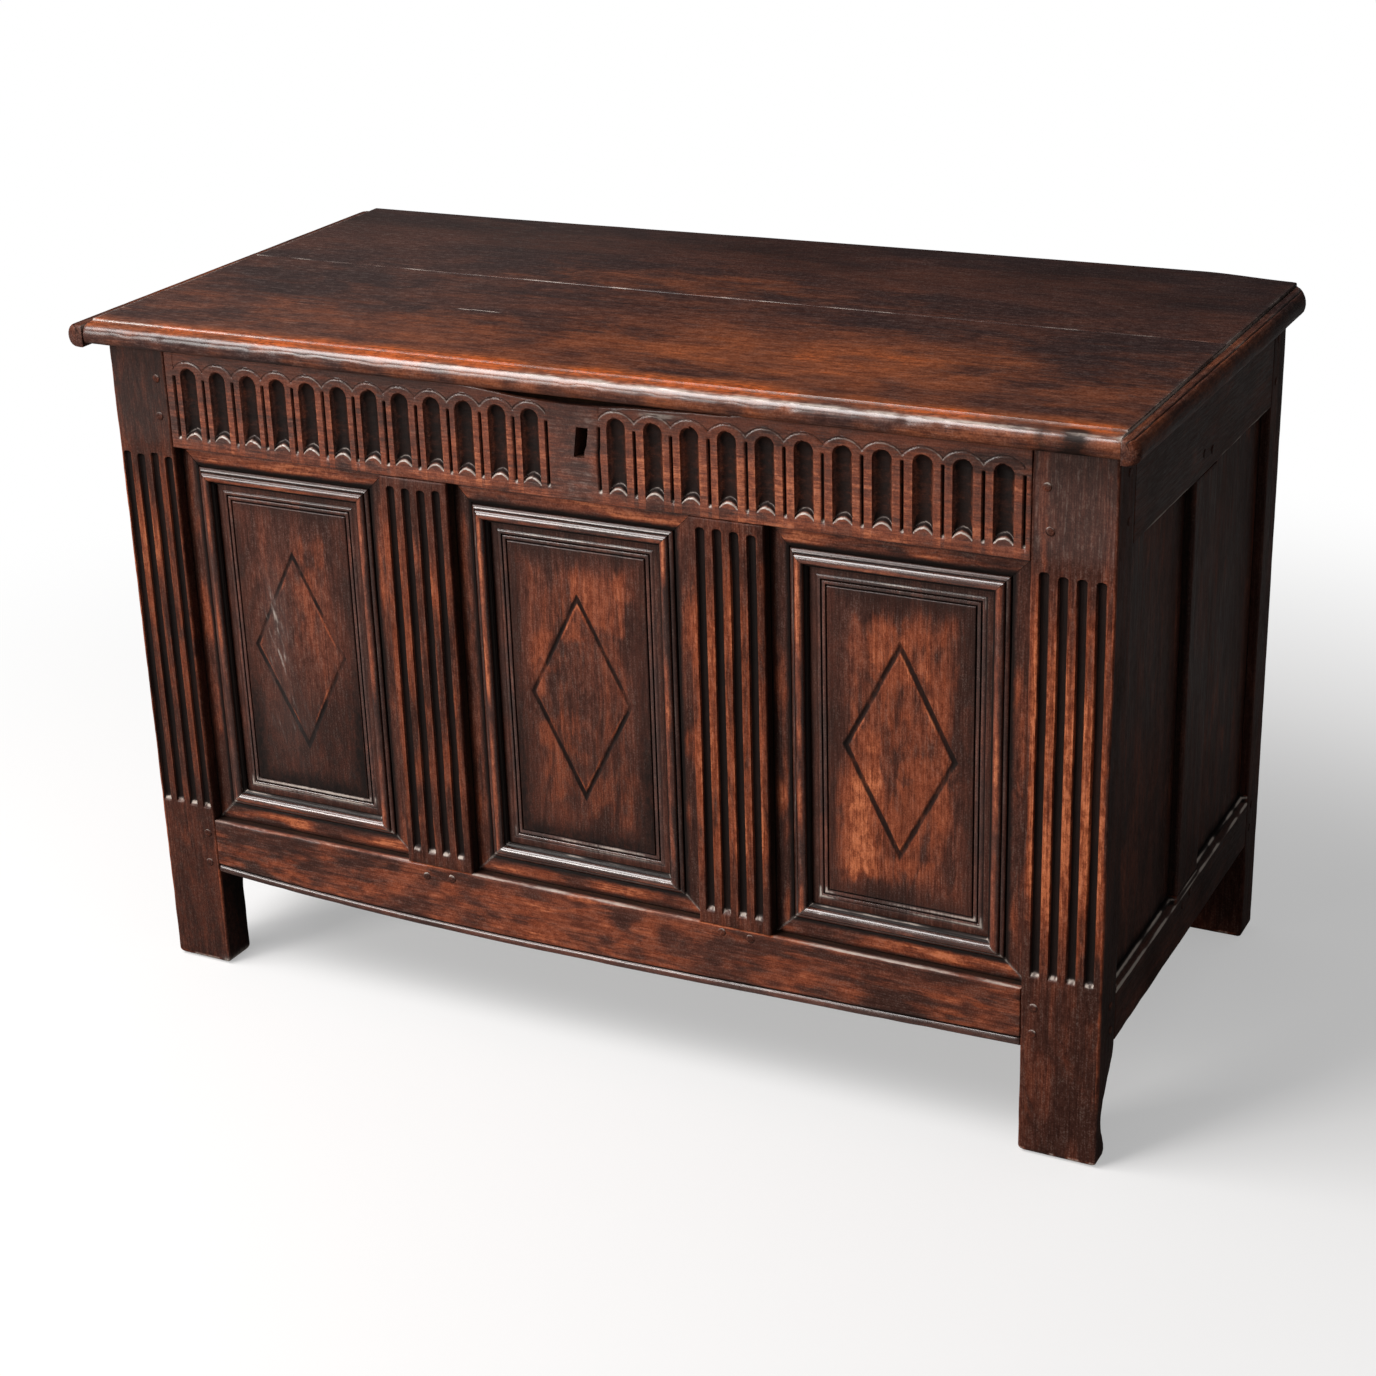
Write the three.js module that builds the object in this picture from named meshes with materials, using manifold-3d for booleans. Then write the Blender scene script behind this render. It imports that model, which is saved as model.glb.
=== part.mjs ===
// A joined oak coffer chest: corner stiles that run down into feet, rails tenoned between them,
// panels in grooves, a fluted frieze with a lock behind it, and a two-board lid on strap hinges.
// Millimetres, +Z up. The front faces -Y, and the origin is at the middle of the chest's bounding
// box, on the floor.

import * as THREE from 'three';
import { mergeVertices } from 'three/addons/utils/BufferGeometryUtils.js';
import Module from 'manifold-3d';

const wasm = await Module();
wasm.setup();

// Carcass
const carcass_width = 1086;
const carcass_depth = 550;
const carcass_height = 717;
const left_stile_width = 69;
const right_stile_width = 79;
const stile_depth = 45;
const rail_thickness = 28;
const joint_gap = 0.3;
const cut_overrun = 2;

// Feet, the lower ends of the stiles
const foot_depth = 40;
const foot_cutback_height = 30;
const foot_ease = 5;

// Front frame
const front_rail_clearance = 116;
const front_rail_height = 63;
const front_rail_sag = 7;
const frieze_height = 109.5;
const front_opening_shares = [0.3246, 0.3412, 0.3342];
const muntin_width = 78.5;
const front_panel_setback = 16.5;

// Side and back frames
const side_rail_clearance = 118;
const side_rail_height = 62;
const side_top_rail_height = 98;
const side_muntin_width = 70;
const side_panel_setback = 9.5;
const side_chamfer_height = 10;
const side_chamfer_depth = 8;
const back_rail_height = 66;
const back_top_rail_height = 90;
const back_panel_setback = 9.5;

// Joints of the frames
const tenon_setback = 10;
const tenon_thickness = 9;
const tenon_length = 34;
const side_tenon_length = 26;
const tenon_haunch = 11;
const mortise_end_gap = 1;
const groove_width = 7.2;
const groove_depth = 8;

// Panels
const panel_thickness = 10.5;
const panel_bevel_width = 28;

// Mouldings round the front panels: depths are measured behind the faces of the stiles
const moulding_width = 39;
const band_width = 21;
const band_depth = 13;
const crest_depth = 5.8;

// Beads and diamond worked in the front panels
const bead_start = 46;
const bead_width = 5;
const bead_count = 2;
const quirk_width = 1.2;
const quirk_depth = 1.2;
const field_rise = 0.5;
const diamond_half_width = 55;
const diamond_half_height = 107;
const diamond_line_width = 2.6;
const diamond_line_depth = 1.3;

// Channels on the stiles and muntins
const channel_count = 4;
const channel_pitch = 17.8;
const channel_width = 8;
const channel_depth = 4;
const channel_top_drop = 10;
const channel_foot_rise = 15;
const channel_stop_slope = 1.4;

// Fluted frieze
const left_flute_count = 12;
const right_flute_count = 11;
const frieze_left_margin = 11;
const frieze_right_margin = 6.5;
const key_block_width = 56.5;
const key_block_offset = 4.2;
const flute_width = 19.4;
const flute_depth = 6.5;
const flute_low = 12.5;
const flute_high = 86.5;
const flute_foot_rise = 6;
const flute_stop_slope = 0.5;
const groove_line_low = 10.5;
const groove_line_high = 77.5;
const groove_line_width = 3.6;
const groove_line_depth = 3;
const scallop_cusp = 85;
const scallop_crown = 94;
const scallop_line_width = 2.2;
const scallop_line_depth = 1.1;

// Bead along the lower edge of the front bottom rail
const rail_bead_height = 9;
const rail_bead_quirk = 3;

// Keyhole, cut on a slant through the frieze
const keyhole_offset = 9.2;
const keyhole_width = 13;
const keyhole_height = 30;
const keyhole_slant = 4;
const keyhole_high = 74;

// Floor
const floor_board_count = 4;
const floor_thickness = 14;
const floor_clearance = 130;
const floor_groove_depth = 8;
const floor_board_gap = 0.6;

// Lid
const lid_thickness = 22.4;
const lid_front_overhang = 27;
const lid_back_overhang = 5;
const lid_board_overhang = 7.5;
const lid_joint_from_front = 322;
const lid_board_gap = 0.6;
const lid_nosing_depth = 21;
const lid_end_width = 17;
const lid_end_height = 23;
const lid_end_drop = 4;
const lid_corner_radius = 8;
const lid_worn_corner_radius = 34;

// Hinges
const hinge_from_end = 211;
const strap_width = 36;
const strap_length = 230;
const strap_point_length = 24;
const iron_thickness = 3;
const leaf_height = 105;
const knuckle_radius = 6;
const pin_radius = 2.7;
const pin_hole_radius = 3;
const pin_head_radius = 4.5;
const pin_head_height = 2;

// Lock
const lock_plate_width = 104;
const lock_plate_height = 68;
const lock_plate_drop = 6;
const lock_plate_thickness = 2.5;
const lock_case_margin = 8;
const lock_case_depth = 20;
const lock_case_wall = 2;
const lock_shelf_thickness = 2.5;
const bolt_thickness = 4.6;
const bolt_body_length = 24;
const bolt_body_height = 12;
const bolt_nose_length = 9;
const bolt_nose_height = 7.6;
const bolt_notch_width = 6;
const bolt_notch_height = 4;
const bolt_rest_gap = 3.5;
const bolt_from_case_top = 18;
const staple_width = 5;
const staple_wire = 3.4;
const staple_eye_depth = 6;
const staple_eye_height = 10;
const staple_plate_width = 34;
const staple_plate_depth = 44;
const staple_plate_thickness = 2.5;
const staple_slot_clearance = 2.2;

// Places worked out from the sizes above
const open_width = carcass_width - left_stile_width - right_stile_width - 2 * muntin_width;
const carcass_back = carcass_depth;
const lid_underside = carcass_height + joint_gap;
const lid_top = lid_underside + lid_thickness;
const knuckle_axis_y = carcass_back + joint_gap + knuckle_radius;
const knuckle_axis_z = carcass_height - knuckle_radius;
const overall_front = -lid_front_overhang;
const overall_back = knuckle_axis_y + knuckle_radius;

// Colours and finishes
const oak = { color: 0x3b1d12, roughness: 0.42, metalness: 0 };
const oak_red = { color: 0x4f2415, roughness: 0.4, metalness: 0 };
const oak_top = { color: 0x35211a, roughness: 0.4, metalness: 0 };
const oak_plain = { color: 0x57402c, roughness: 0.75, metalness: 0 };
const iron = { color: 0x26221f, roughness: 0.6, metalness: 0.9 };

// A closed skin over rings of equally many points. Each ring is two rows end to end, the second
// one backwards, so that point i faces point N - 1 - i, and a strip between the rows closes the
// first and the last ring.
function skin(rings) {
  const count = rings[0].length;
  const positions = rings.flat().flatMap((p) => [p.x, p.y, p.z]);
  const triangles = [];
  for (let r = 0; r + 1 < rings.length; r++) {
    for (let i = 0; i < count; i++) {
      const a = r * count + i;
      const b = r * count + ((i + 1) % count);
      triangles.push(a, b, b + count, a, b + count, a + count);
    }
  }
  const last = (rings.length - 1) * count;
  for (let i = 0; i + 1 < count / 2; i++) {
    const j = count - 1 - i;
    triangles.push(i, j, i + 1, i + 1, j, j - 1);
    triangles.push(last + i, last + i + 1, last + j, last + i + 1, last + j - 1, last + j);
  }
  if (enclosedVolume(positions, triangles) < 0) triangles.reverse();
  const geometry = new THREE.BufferGeometry();
  geometry.setAttribute('position', new THREE.Float32BufferAttribute(positions, 3));
  geometry.setIndex(triangles);
  return toSolid(geometry);
}

function enclosedVolume(positions, triangles) {
  const corner = (i) => new THREE.Vector3().fromArray(positions, 3 * i);
  let sum = 0;
  for (let t = 0; t < triangles.length; t += 3) {
    const [a, b, c] = [corner(triangles[t]), corner(triangles[t + 1]), corner(triangles[t + 2])];
    sum += a.dot(b.cross(c));
  }
  return sum;
}

// A geometry with its shared vertices merged, as a solid that can be cut and joined.
function toSolid(geometry) {
  const bare = geometry.clone();
  bare.deleteAttribute('normal');
  bare.deleteAttribute('uv');
  const merged = mergeVertices(bare, 1e-4);
  const mesh = new wasm.Mesh({
    numProp: 3,
    vertProperties: new Float32Array(merged.attributes.position.array),
    triVerts: new Uint32Array(merged.index.array),
  });
  return new wasm.Manifold(mesh);
}

function toGeometry(solid) {
  const mesh = solid.getMesh();
  const geometry = new THREE.BufferGeometry();
  geometry.setAttribute('position', new THREE.BufferAttribute(new Float32Array(mesh.vertProperties), 3));
  geometry.setIndex(new THREE.BufferAttribute(new Uint32Array(mesh.triVerts), 1));
  const faceted = geometry.toNonIndexed();
  faceted.computeVertexNormals();
  return faceted;
}

function box([x0, x1], [y0, y1], [z0, z1]) {
  const geometry = new THREE.BoxGeometry(x1 - x0, y1 - y0, z1 - z0);
  geometry.translate((x0 + x1) / 2, (y0 + y1) / 2, (z0 + z1) / 2);
  return toSolid(geometry);
}

// An outline of [u, v] pairs or a THREE.Shape, carried along one axis from a low to a high place.
function prism(outline, axis, [low, high]) {
  const shape = outline instanceof THREE.Shape
    ? outline
    : new THREE.Shape(outline.map(([u, v]) => new THREE.Vector2(u, v)));
  const geometry = new THREE.ExtrudeGeometry(shape, {
    depth: high - low,
    bevelEnabled: false,
    curveSegments: 8,
  });
  const [x, y, z] = [new THREE.Vector3(1, 0, 0), new THREE.Vector3(0, 1, 0), new THREE.Vector3(0, 0, 1)];
  const turn = new THREE.Matrix4();
  if (axis === 'x') turn.makeBasis(y, z, x).setPosition(low, 0, 0);
  if (axis === 'y') turn.makeBasis(x, z, y.clone().negate()).setPosition(0, high, 0);
  if (axis === 'z') turn.makeBasis(x, y, z).setPosition(0, 0, low);
  geometry.applyMatrix4(turn);
  return toSolid(geometry);
}

// A round bar along X, about a line at [y, z].
function barAlongX(radius, [y, z], [x0, x1]) {
  const geometry = new THREE.CylinderGeometry(radius, radius, x1 - x0, 16);
  geometry.rotateZ(Math.PI / 2);
  geometry.translate((x0 + x1) / 2, y, z);
  return toSolid(geometry);
}

function placed(solid, matrix) {
  return solid.transform(matrix.elements);
}

function cutAll(solid, cutters) {
  return cutters.reduce((rest, cutter) => rest.subtract(cutter), solid);
}

function grown([low, high], by) {
  return [low - by, high + by];
}

// Openings side by side from a starting place, with a post between each two.
function openingsFrom(start, widths, post_width) {
  let place = start;
  return widths.map((width) => {
    const opening = [place, place + width];
    place += width + post_width;
    return opening;
  });
}

// The four joined frames, each in its own plane: x along it, y inward from its outer face, z up.
const quarter_turn = Math.PI / 2;

const front_frame = {
  place: new THREE.Matrix4(),
  openings: openingsFrom(
    left_stile_width,
    front_opening_shares.map((share) => share * open_width),
    muntin_width,
  ),
  bottom: [front_rail_clearance, front_rail_clearance + front_rail_height],
  top: [carcass_height - frieze_height, carcass_height],
  groove_setback: front_panel_setback - joint_gap,
  tenon_length,
};

const back_frame = {
  place: new THREE.Matrix4().makeRotationZ(2 * quarter_turn).setPosition(carcass_width, carcass_back, 0),
  openings: openingsFrom(right_stile_width, Array(3).fill(open_width / 3), muntin_width),
  bottom: [front_rail_clearance, front_rail_clearance + back_rail_height],
  top: [carcass_height - back_top_rail_height, carcass_height],
  groove_setback: back_panel_setback - joint_gap,
  tenon_length,
};

const side_opening_width = (carcass_depth - 2 * stile_depth - side_muntin_width) / 2;

function sideFrame(place) {
  return {
    place,
    openings: openingsFrom(stile_depth, Array(2).fill(side_opening_width), side_muntin_width),
    bottom: [side_rail_clearance, side_rail_clearance + side_rail_height],
    top: [carcass_height - side_top_rail_height, carcass_height],
    groove_setback: side_panel_setback - joint_gap,
    tenon_length: side_tenon_length,
  };
}

const left_frame = sideFrame(
  new THREE.Matrix4().makeRotationZ(-quarter_turn).setPosition(0, carcass_back, 0),
);
const right_frame = sideFrame(
  new THREE.Matrix4().makeRotationZ(quarter_turn).setPosition(carcass_width, 0, 0),
);

const thickness_span = [0, rail_thickness];
const tenon_span = [tenon_setback, tenon_setback + tenon_thickness];

function frameSpan(frame) {
  return [frame.openings[0][0], frame.openings.at(-1)[1]];
}

function grooveSpan(frame) {
  return [frame.groove_setback, frame.groove_setback + groove_width];
}

// The two tenons of a rail. A clearance all round and past the end turns them into their mortises.
function railTenons(frame, rail, clearance) {
  const [left, right] = frameSpan(frame);
  const heights = grown([rail[0] + tenon_haunch, rail[1] - tenon_haunch], clearance);
  const reach = frame.tenon_length + (clearance > 0 ? mortise_end_gap : 0);
  const depths = grown(tenon_span, clearance);
  return [
    box([left - reach, left + cut_overrun], depths, heights),
    box([right - cut_overrun, right + reach], depths, heights),
  ];
}

function muntinSpans(frame) {
  return frame.openings.slice(1).map((opening, i) => [frame.openings[i][1], opening[0]]);
}

function muntinTenon(frame, muntin, clearance) {
  const widths = grown([muntin[0] + tenon_haunch, muntin[1] - tenon_haunch], clearance);
  const reach = frame.tenon_length + (clearance > 0 ? mortise_end_gap : 0);
  return box(widths, grown(tenon_span, clearance), [frame.bottom[1] - reach, frame.top[0] + reach]);
}

// What the stiles lose to a frame: the mortises of its rails and the grooves of its outer panels.
function stileCutters(frame) {
  const [left, right] = frameSpan(frame);
  const heights = [frame.bottom[1] - groove_depth, frame.top[0] + groove_depth];
  return [
    ...railTenons(frame, frame.bottom, joint_gap),
    ...railTenons(frame, frame.top, joint_gap),
    box([left - groove_depth, left + cut_overrun], grooveSpan(frame), heights),
    box([right - cut_overrun, right + groove_depth], grooveSpan(frame), heights),
  ].map((cutter) => placed(cutter, frame.place));
}

// What both rails lose to a frame: the mortises of its muntins and the grooves of its panels.
function railCutters(frame) {
  const span = grown(frameSpan(frame), cut_overrun);
  const heights = [frame.bottom[1] - groove_depth, frame.top[0] + groove_depth];
  const mortises = muntinSpans(frame).map((muntin) => muntinTenon(frame, muntin, joint_gap));
  return [box(span, grooveSpan(frame), heights), ...mortises];
}

function jointedRail(frame, rail, blank) {
  const whole = railTenons(frame, rail, 0).reduce((all, tenon) => all.add(tenon), blank);
  return cutAll(whole, railCutters(frame));
}

function plainRail(frame, rail) {
  return jointedRail(frame, rail, box(grown(frameSpan(frame), -joint_gap), thickness_span, rail));
}

function muntinSolid(frame, muntin) {
  const heights = grown([frame.bottom[1], frame.top[0]], -joint_gap);
  const blank = box(muntin, thickness_span, heights).add(muntinTenon(frame, muntin, 0));
  const grooves = [
    box([muntin[0] - cut_overrun, muntin[0] + groove_depth], grooveSpan(frame), grown(heights, cut_overrun)),
    box([muntin[1] - groove_depth, muntin[1] + cut_overrun], grooveSpan(frame), grown(heights, cut_overrun)),
  ];
  return cutAll(blank, grooves);
}

// A rectangle of four corners in a frame's plane: the opening drawn in by an inset, at a depth.
function panelRing(frame, opening, inset, depth) {
  const [x0, x1] = grown(opening, -inset);
  const [z0, z1] = grown([frame.bottom[1], frame.top[0]], -inset);
  return [[x0, z0], [x1, z0], [x1, z1], [x0, z1]].map(([x, z]) => new THREE.Vector3(x, depth, z));
}

// A panel: bevelled behind so that its edge fits the groove, with any relief worked on its face.
function panelSolid(frame, opening, relief = []) {
  const face = frame.groove_setback + joint_gap;
  const tongue_back = frame.groove_setback + groove_width - joint_gap;
  const tongue = -(groove_depth - 2 * joint_gap);
  const ring = (inset, depth) => panelRing(frame, opening, inset, depth);
  return skin([
    ring(panel_bevel_width, face + panel_thickness),
    ring(0, tongue_back),
    ring(tongue, tongue_back),
    ring(tongue, face),
    ...(relief.length ? relief.map(([inset, depth]) => ring(inset, face + depth)) : [ring(0, face)]),
  ]);
}

// Beads between quirks, and then the raised field, as [inset from the opening, depth] pairs.
function beadRelief() {
  const relief = [[bead_start - quirk_width, 0]];
  for (let i = 0; i < bead_count; i++) {
    const start = bead_start + i * bead_width;
    relief.push([start, quirk_depth]);
    relief.push([start + bead_width * 0.3, 0]);
    relief.push([start + bead_width * 0.6, 0]);
  }
  const field = bead_start + bead_count * bead_width;
  relief.push([field, quirk_depth], [field + quirk_width, -field_rise]);
  return relief;
}

// A V-shaped line cut into a face that looks along -Y. The path is [x, z] pairs; the ends slope
// up over the stop length.
function incise(path, face, width, depth, stop = 0) {
  const points = path.map(([x, z]) => new THREE.Vector2(x, z));
  const rings = points.map((point, i) => {
    const before = points[Math.max(i - 1, 0)];
    const after = points[Math.min(i + 1, points.length - 1)];
    const along = after.clone().sub(before).normalize();
    const across = new THREE.Vector2(-along.y, along.x).multiplyScalar(width / 2);
    const inset = stop * (i === 0 ? 1 : i === points.length - 1 ? -1 : 0);
    const bottom = point.clone().addScaledVector(along, inset);
    const edges = [point.clone().sub(across), point.clone().add(across)];
    return [
      new THREE.Vector3(edges[0].x, face, edges[0].y),
      new THREE.Vector3(bottom.x, face + depth, bottom.y),
      new THREE.Vector3(edges[1].x, face, edges[1].y),
      new THREE.Vector3(edges[1].x, face - cut_overrun, edges[1].y),
      new THREE.Vector3(point.x, face - cut_overrun, point.y),
      new THREE.Vector3(edges[0].x, face - cut_overrun, edges[0].y),
    ];
  });
  return skin(rings);
}

// A hollow cut with a gouge down a face that looks along -Y: round in section, with a round head.
// Its foot climbs towards the middle by foot_rise, and slopes up from the bottom of the hollow.
function hollow({ middle, low, high, width, depth, foot_rise, stop_slope }) {
  const arc_steps = 6;
  const head_steps = 3;
  const half = width / 2;
  const across = [...Array(arc_steps + 1).keys()].map((i) => (Math.PI * i) / arc_steps);
  const ring = (scale, level) => {
    const row = across.map((angle) => {
      const offset = -Math.cos(angle);
      return new THREE.Vector3(middle + half * scale * offset, depth * scale * Math.sin(angle), level(offset, angle));
    });
    const front = row.map((p) => new THREE.Vector3(p.x, -cut_overrun, level((p.x - middle) / half, 0)));
    return [...row, ...front.reverse()];
  };
  const rings = [];
  for (let i = 1; i <= head_steps; i++) {
    const turn = (quarter_turn * i) / head_steps;
    rings.push(ring(Math.sin(turn), () => high - half + half * Math.cos(turn)));
  }
  const foot = (offset, angle) => low + foot_rise * (1 - offset * offset) + stop_slope * depth * Math.sin(angle);
  rings.push(ring(1, foot));
  return skin(rings);
}

// The channels down the face of a stile or a muntin, side by side about its middle.
function channels([left, right]) {
  const middle = (left + right) / 2;
  return [...Array(channel_count).keys()].map((i) => hollow({
    middle: middle + channel_pitch * (i - (channel_count - 1) / 2),
    low: front_frame.bottom[1] + channel_foot_rise,
    high: front_frame.top[0] - channel_top_drop,
    width: channel_width,
    depth: channel_depth,
    foot_rise: 0,
    stop_slope: channel_stop_slope,
  }));
}

// A corner stile: square in section, cut back on its inner side below the rails, eased at the foot.
function stileSolid([x0, x1], front_to_back, carved) {
  const [y0, y1] = front_to_back ? [0, stile_depth] : [carcass_back - stile_depth, carcass_back];
  const ring = (z, depth, ease) => {
    const [a, b] = front_to_back ? [y0, y0 + depth] : [y1 - depth, y1];
    const corners = [[x0 + ease, a + ease], [x1 - ease, a + ease], [x1 - ease, b - ease], [x0 + ease, b - ease]];
    return corners.map(([x, y]) => new THREE.Vector3(x, y, z));
  };
  const blank = skin([
    ring(0, foot_depth, foot_ease),
    ring(foot_ease, foot_depth, 0),
    ring(front_rail_clearance - foot_cutback_height, foot_depth, 0),
    ring(front_rail_clearance, stile_depth, 0),
    ring(carcass_height, stile_depth, 0),
  ]);
  const mortises = [front_frame, back_frame, left_frame, right_frame].flatMap(stileCutters);
  return cutAll(blank, carved ? [...mortises, ...channels([x0, x1])] : mortises);
}

// The front bottom rail: its lower edge hangs in a shallow curve and carries a bead.
function frontBottomRail() {
  const [low, high] = front_frame.bottom;
  const [left, right] = grown(frameSpan(front_frame), -joint_gap);
  const half_bead = rail_bead_height / 2;
  const quirk = low + rail_bead_height;
  const section = [
    [0, high, 0],
    [0, quirk + rail_bead_quirk, 1],
    [rail_bead_quirk, quirk, 1],
    [0, quirk - half_bead / 2, 1],
    [0, low + half_bead / 2, 1],
    [half_bead / 2, low, 1],
  ];
  const stations = 8;
  const rings = [...Array(stations + 1).keys()].map((i) => {
    const share = i / stations;
    const x = left + (right - left) * share;
    const sag = front_rail_sag * (1 - (2 * share - 1) ** 2);
    const front = section.map(([y, z, sags]) => new THREE.Vector3(x, y, z - sags * sag));
    const back = front.map((p) => new THREE.Vector3(x, rail_thickness, p.z));
    return [...front, ...back.reverse()];
  });
  return cutAll(jointedRail(front_frame, front_frame.bottom, skin(rings)), [floorGroove()]);
}

// The groove for the floor boards' ends, in the inner face of the front and back bottom rails.
function floorGroove() {
  return box(
    grown([0, carcass_width], cut_overrun),
    [rail_thickness - floor_groove_depth - joint_gap, rail_thickness + cut_overrun],
    grown([floor_clearance, floor_clearance + floor_thickness], joint_gap),
  );
}

const key_block_middle = carcass_width / 2 + key_block_offset;

// The runs of flutes on either side of the plain block that holds the keyhole.
const flute_runs = [
  {
    from: left_stile_width + frieze_left_margin,
    to: key_block_middle - key_block_width / 2,
    count: left_flute_count,
  },
  {
    from: key_block_middle + key_block_width / 2,
    to: carcass_width - right_stile_width - frieze_right_margin,
    count: right_flute_count,
  },
];

// One run: a hollow flute in each bay, a scallop over it, and a V line between it and the next.
function fluteRunCutters({ from, to, count }) {
  const base = front_frame.top[0];
  const pitch = (to - from) / count;
  const cutters = [];
  for (let i = 0; i <= count; i++) {
    const x = from + i * pitch;
    const line = [[x, base + groove_line_low], [x, base + groove_line_high]];
    cutters.push(incise(line, 0, groove_line_width, groove_line_depth, groove_line_depth));
  }
  for (let i = 0; i < count; i++) {
    const middle = from + (i + 0.5) * pitch;
    cutters.push(hollow({
      middle,
      low: base + flute_low,
      high: base + flute_high,
      width: flute_width,
      depth: flute_depth,
      foot_rise: flute_foot_rise,
      stop_slope: flute_stop_slope,
    }));
    cutters.push(incise(scallopPath(middle, pitch, base), 0, scallop_line_width, scallop_line_depth));
  }
  return cutters;
}

// An arc from cusp to cusp over one bay of the frieze.
function scallopPath(middle, pitch, base) {
  const rise = scallop_crown - scallop_cusp;
  const radius = pitch ** 2 / (8 * rise) + rise / 2;
  const reach = Math.asin(pitch / 2 / radius);
  const steps = 6;
  return [...Array(steps + 1).keys()].map((i) => {
    const angle = reach * ((2 * i) / steps - 1);
    return [middle + radius * Math.sin(angle), base + scallop_crown - radius * (1 - Math.cos(angle))];
  });
}

const keyhole_middle = key_block_middle + keyhole_offset;

function keyholeOutline(clearance) {
  const half = keyhole_width / 2 + clearance;
  const high = front_frame.top[0] + keyhole_high + clearance;
  const low = high - keyhole_height - 2 * clearance;
  const top = keyhole_middle + keyhole_slant / 2;
  const bottom = keyhole_middle - keyhole_slant / 2;
  return [[bottom - half, low], [bottom + half, low], [top + half, high], [top - half, high]];
}

function friezeRail() {
  const keyhole = prism(keyholeOutline(0), 'y', grown(thickness_span, cut_overrun));
  const cutters = flute_runs.flatMap(fluteRunCutters);
  return cutAll(plainRail(front_frame, front_frame.top), [keyhole, ...cutters]);
}

// The section of the panel moulding as [inset, depth] shares: of the moulding's own width past the
// flat band, and of its height from the crest to the band.
const moulding_shares = [
  [0.0, 1.15],
  [0.05, 0.7],
  [0.14, 0.64],
  [0.24, 0.48],
  [0.33, 0.22],
  [0.42, 0.06],
  [0.56, 0.0],
  [0.69, 0.1],
  [0.77, 0.36],
  [0.85, 0.74],
  [0.92, 0.86],
  [0.97, 0.88],
  [1.0, 1.0],
];

function mouldingProfile() {
  const width = moulding_width - band_width;
  const height = band_depth - crest_depth;
  const moulded = moulding_shares.map(([u, v]) => [band_width + u * width, crest_depth + v * height]);
  return [[joint_gap, band_depth], [band_width - quirk_width, band_depth], ...moulded];
}

// One mitred strip of moulding along one edge of a front opening.
function mouldingStrip(opening, edge) {
  const upright = edge === 'left' || edge === 'right';
  const heights = [front_frame.bottom[1], front_frame.top[0]];
  const [start, end] = upright ? heights : opening;
  const [near, far] = upright ? opening : heights;
  const from_far = edge === 'right' || edge === 'top';
  const back = front_frame.groove_setback;
  const point = (along, inset, depth) => {
    const across = from_far ? far - inset : near + inset;
    return upright ? new THREE.Vector3(across, depth, along) : new THREE.Vector3(along, depth, across);
  };
  const ring = (place, sense) => {
    const row = (depthOf) => mouldingProfile().map(([inset, depth]) =>
      point(place + sense * (inset + joint_gap), inset, depthOf(depth)));
    return [...row((depth) => depth), ...row(() => back).reverse()];
  };
  return skin([ring(start, 1), ring(end, -1)]);
}

function diamondLines(opening) {
  const x = (opening[0] + opening[1]) / 2;
  const z = (front_frame.bottom[1] + front_frame.top[0]) / 2;
  const corners = [
    [x, z + diamond_half_height],
    [x + diamond_half_width, z],
    [x, z - diamond_half_height],
    [x - diamond_half_width, z],
  ];
  const face = front_panel_setback - field_rise;
  return corners.map((corner, i) =>
    incise([corner, corners[(i + 1) % corners.length]], face, diamond_line_width, diamond_line_depth));
}

function frontPanel(opening) {
  return cutAll(panelSolid(front_frame, opening, beadRelief()), diamondLines(opening));
}

// A side bottom rail, its upper outer arris chamfered along each opening and left square at posts.
function sideBottomRail(frame) {
  const high = frame.bottom[1];
  const outline = [
    [-cut_overrun, high - side_chamfer_height],
    [0, high - side_chamfer_height],
    [side_chamfer_depth, high],
    [side_chamfer_depth, high + cut_overrun],
    [-cut_overrun, high + cut_overrun],
  ];
  const chamfers = frame.openings.map((opening) => prism(outline, 'x', opening));
  return cutAll(plainRail(frame, frame.bottom), chamfers);
}

function backTopRail() {
  return cutAll(plainRail(back_frame, back_frame.top), hingePlaces().map((x) => {
    const middle = carcass_width - x;
    const half = strap_width / 2 + joint_gap;
    const housing = [carcass_height - iron_thickness - joint_gap, carcass_height + cut_overrun];
    return box([middle - half, middle + half], grown(thickness_span, cut_overrun), housing);
  }));
}

function backBottomRail() {
  return cutAll(plainRail(back_frame, back_frame.bottom), [floorGroove()]);
}

// Floor boards from front to back, their ends in the rails' grooves, notched round the stiles.
function floorBoards() {
  const [left, right] = [rail_thickness + joint_gap, carcass_width - rail_thickness - joint_gap];
  const reach = rail_thickness - floor_groove_depth + joint_gap;
  const width = (right - left) / floor_board_count;
  const heights = [floor_clearance, floor_clearance + floor_thickness];
  const stile_corners = [grown([0, left_stile_width], joint_gap),
    grown([carcass_width - right_stile_width, carcass_width], joint_gap)]
    .flatMap((xs) => [grown([0, stile_depth], joint_gap),
      grown([carcass_back - stile_depth, carcass_back], joint_gap)]
      .map((ys) => box(xs, ys, grown(heights, cut_overrun))));
  return [...Array(floor_board_count).keys()].map((i) => {
    const start = left + i * width;
    const board = box(
      [start + (i > 0 ? floor_board_gap / 2 : 0), start + width - (i + 1 < floor_board_count ? floor_board_gap / 2 : 0)],
      [reach, carcass_back - reach],
      heights,
    );
    return cutAll(board, stile_corners);
  });
}

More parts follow.
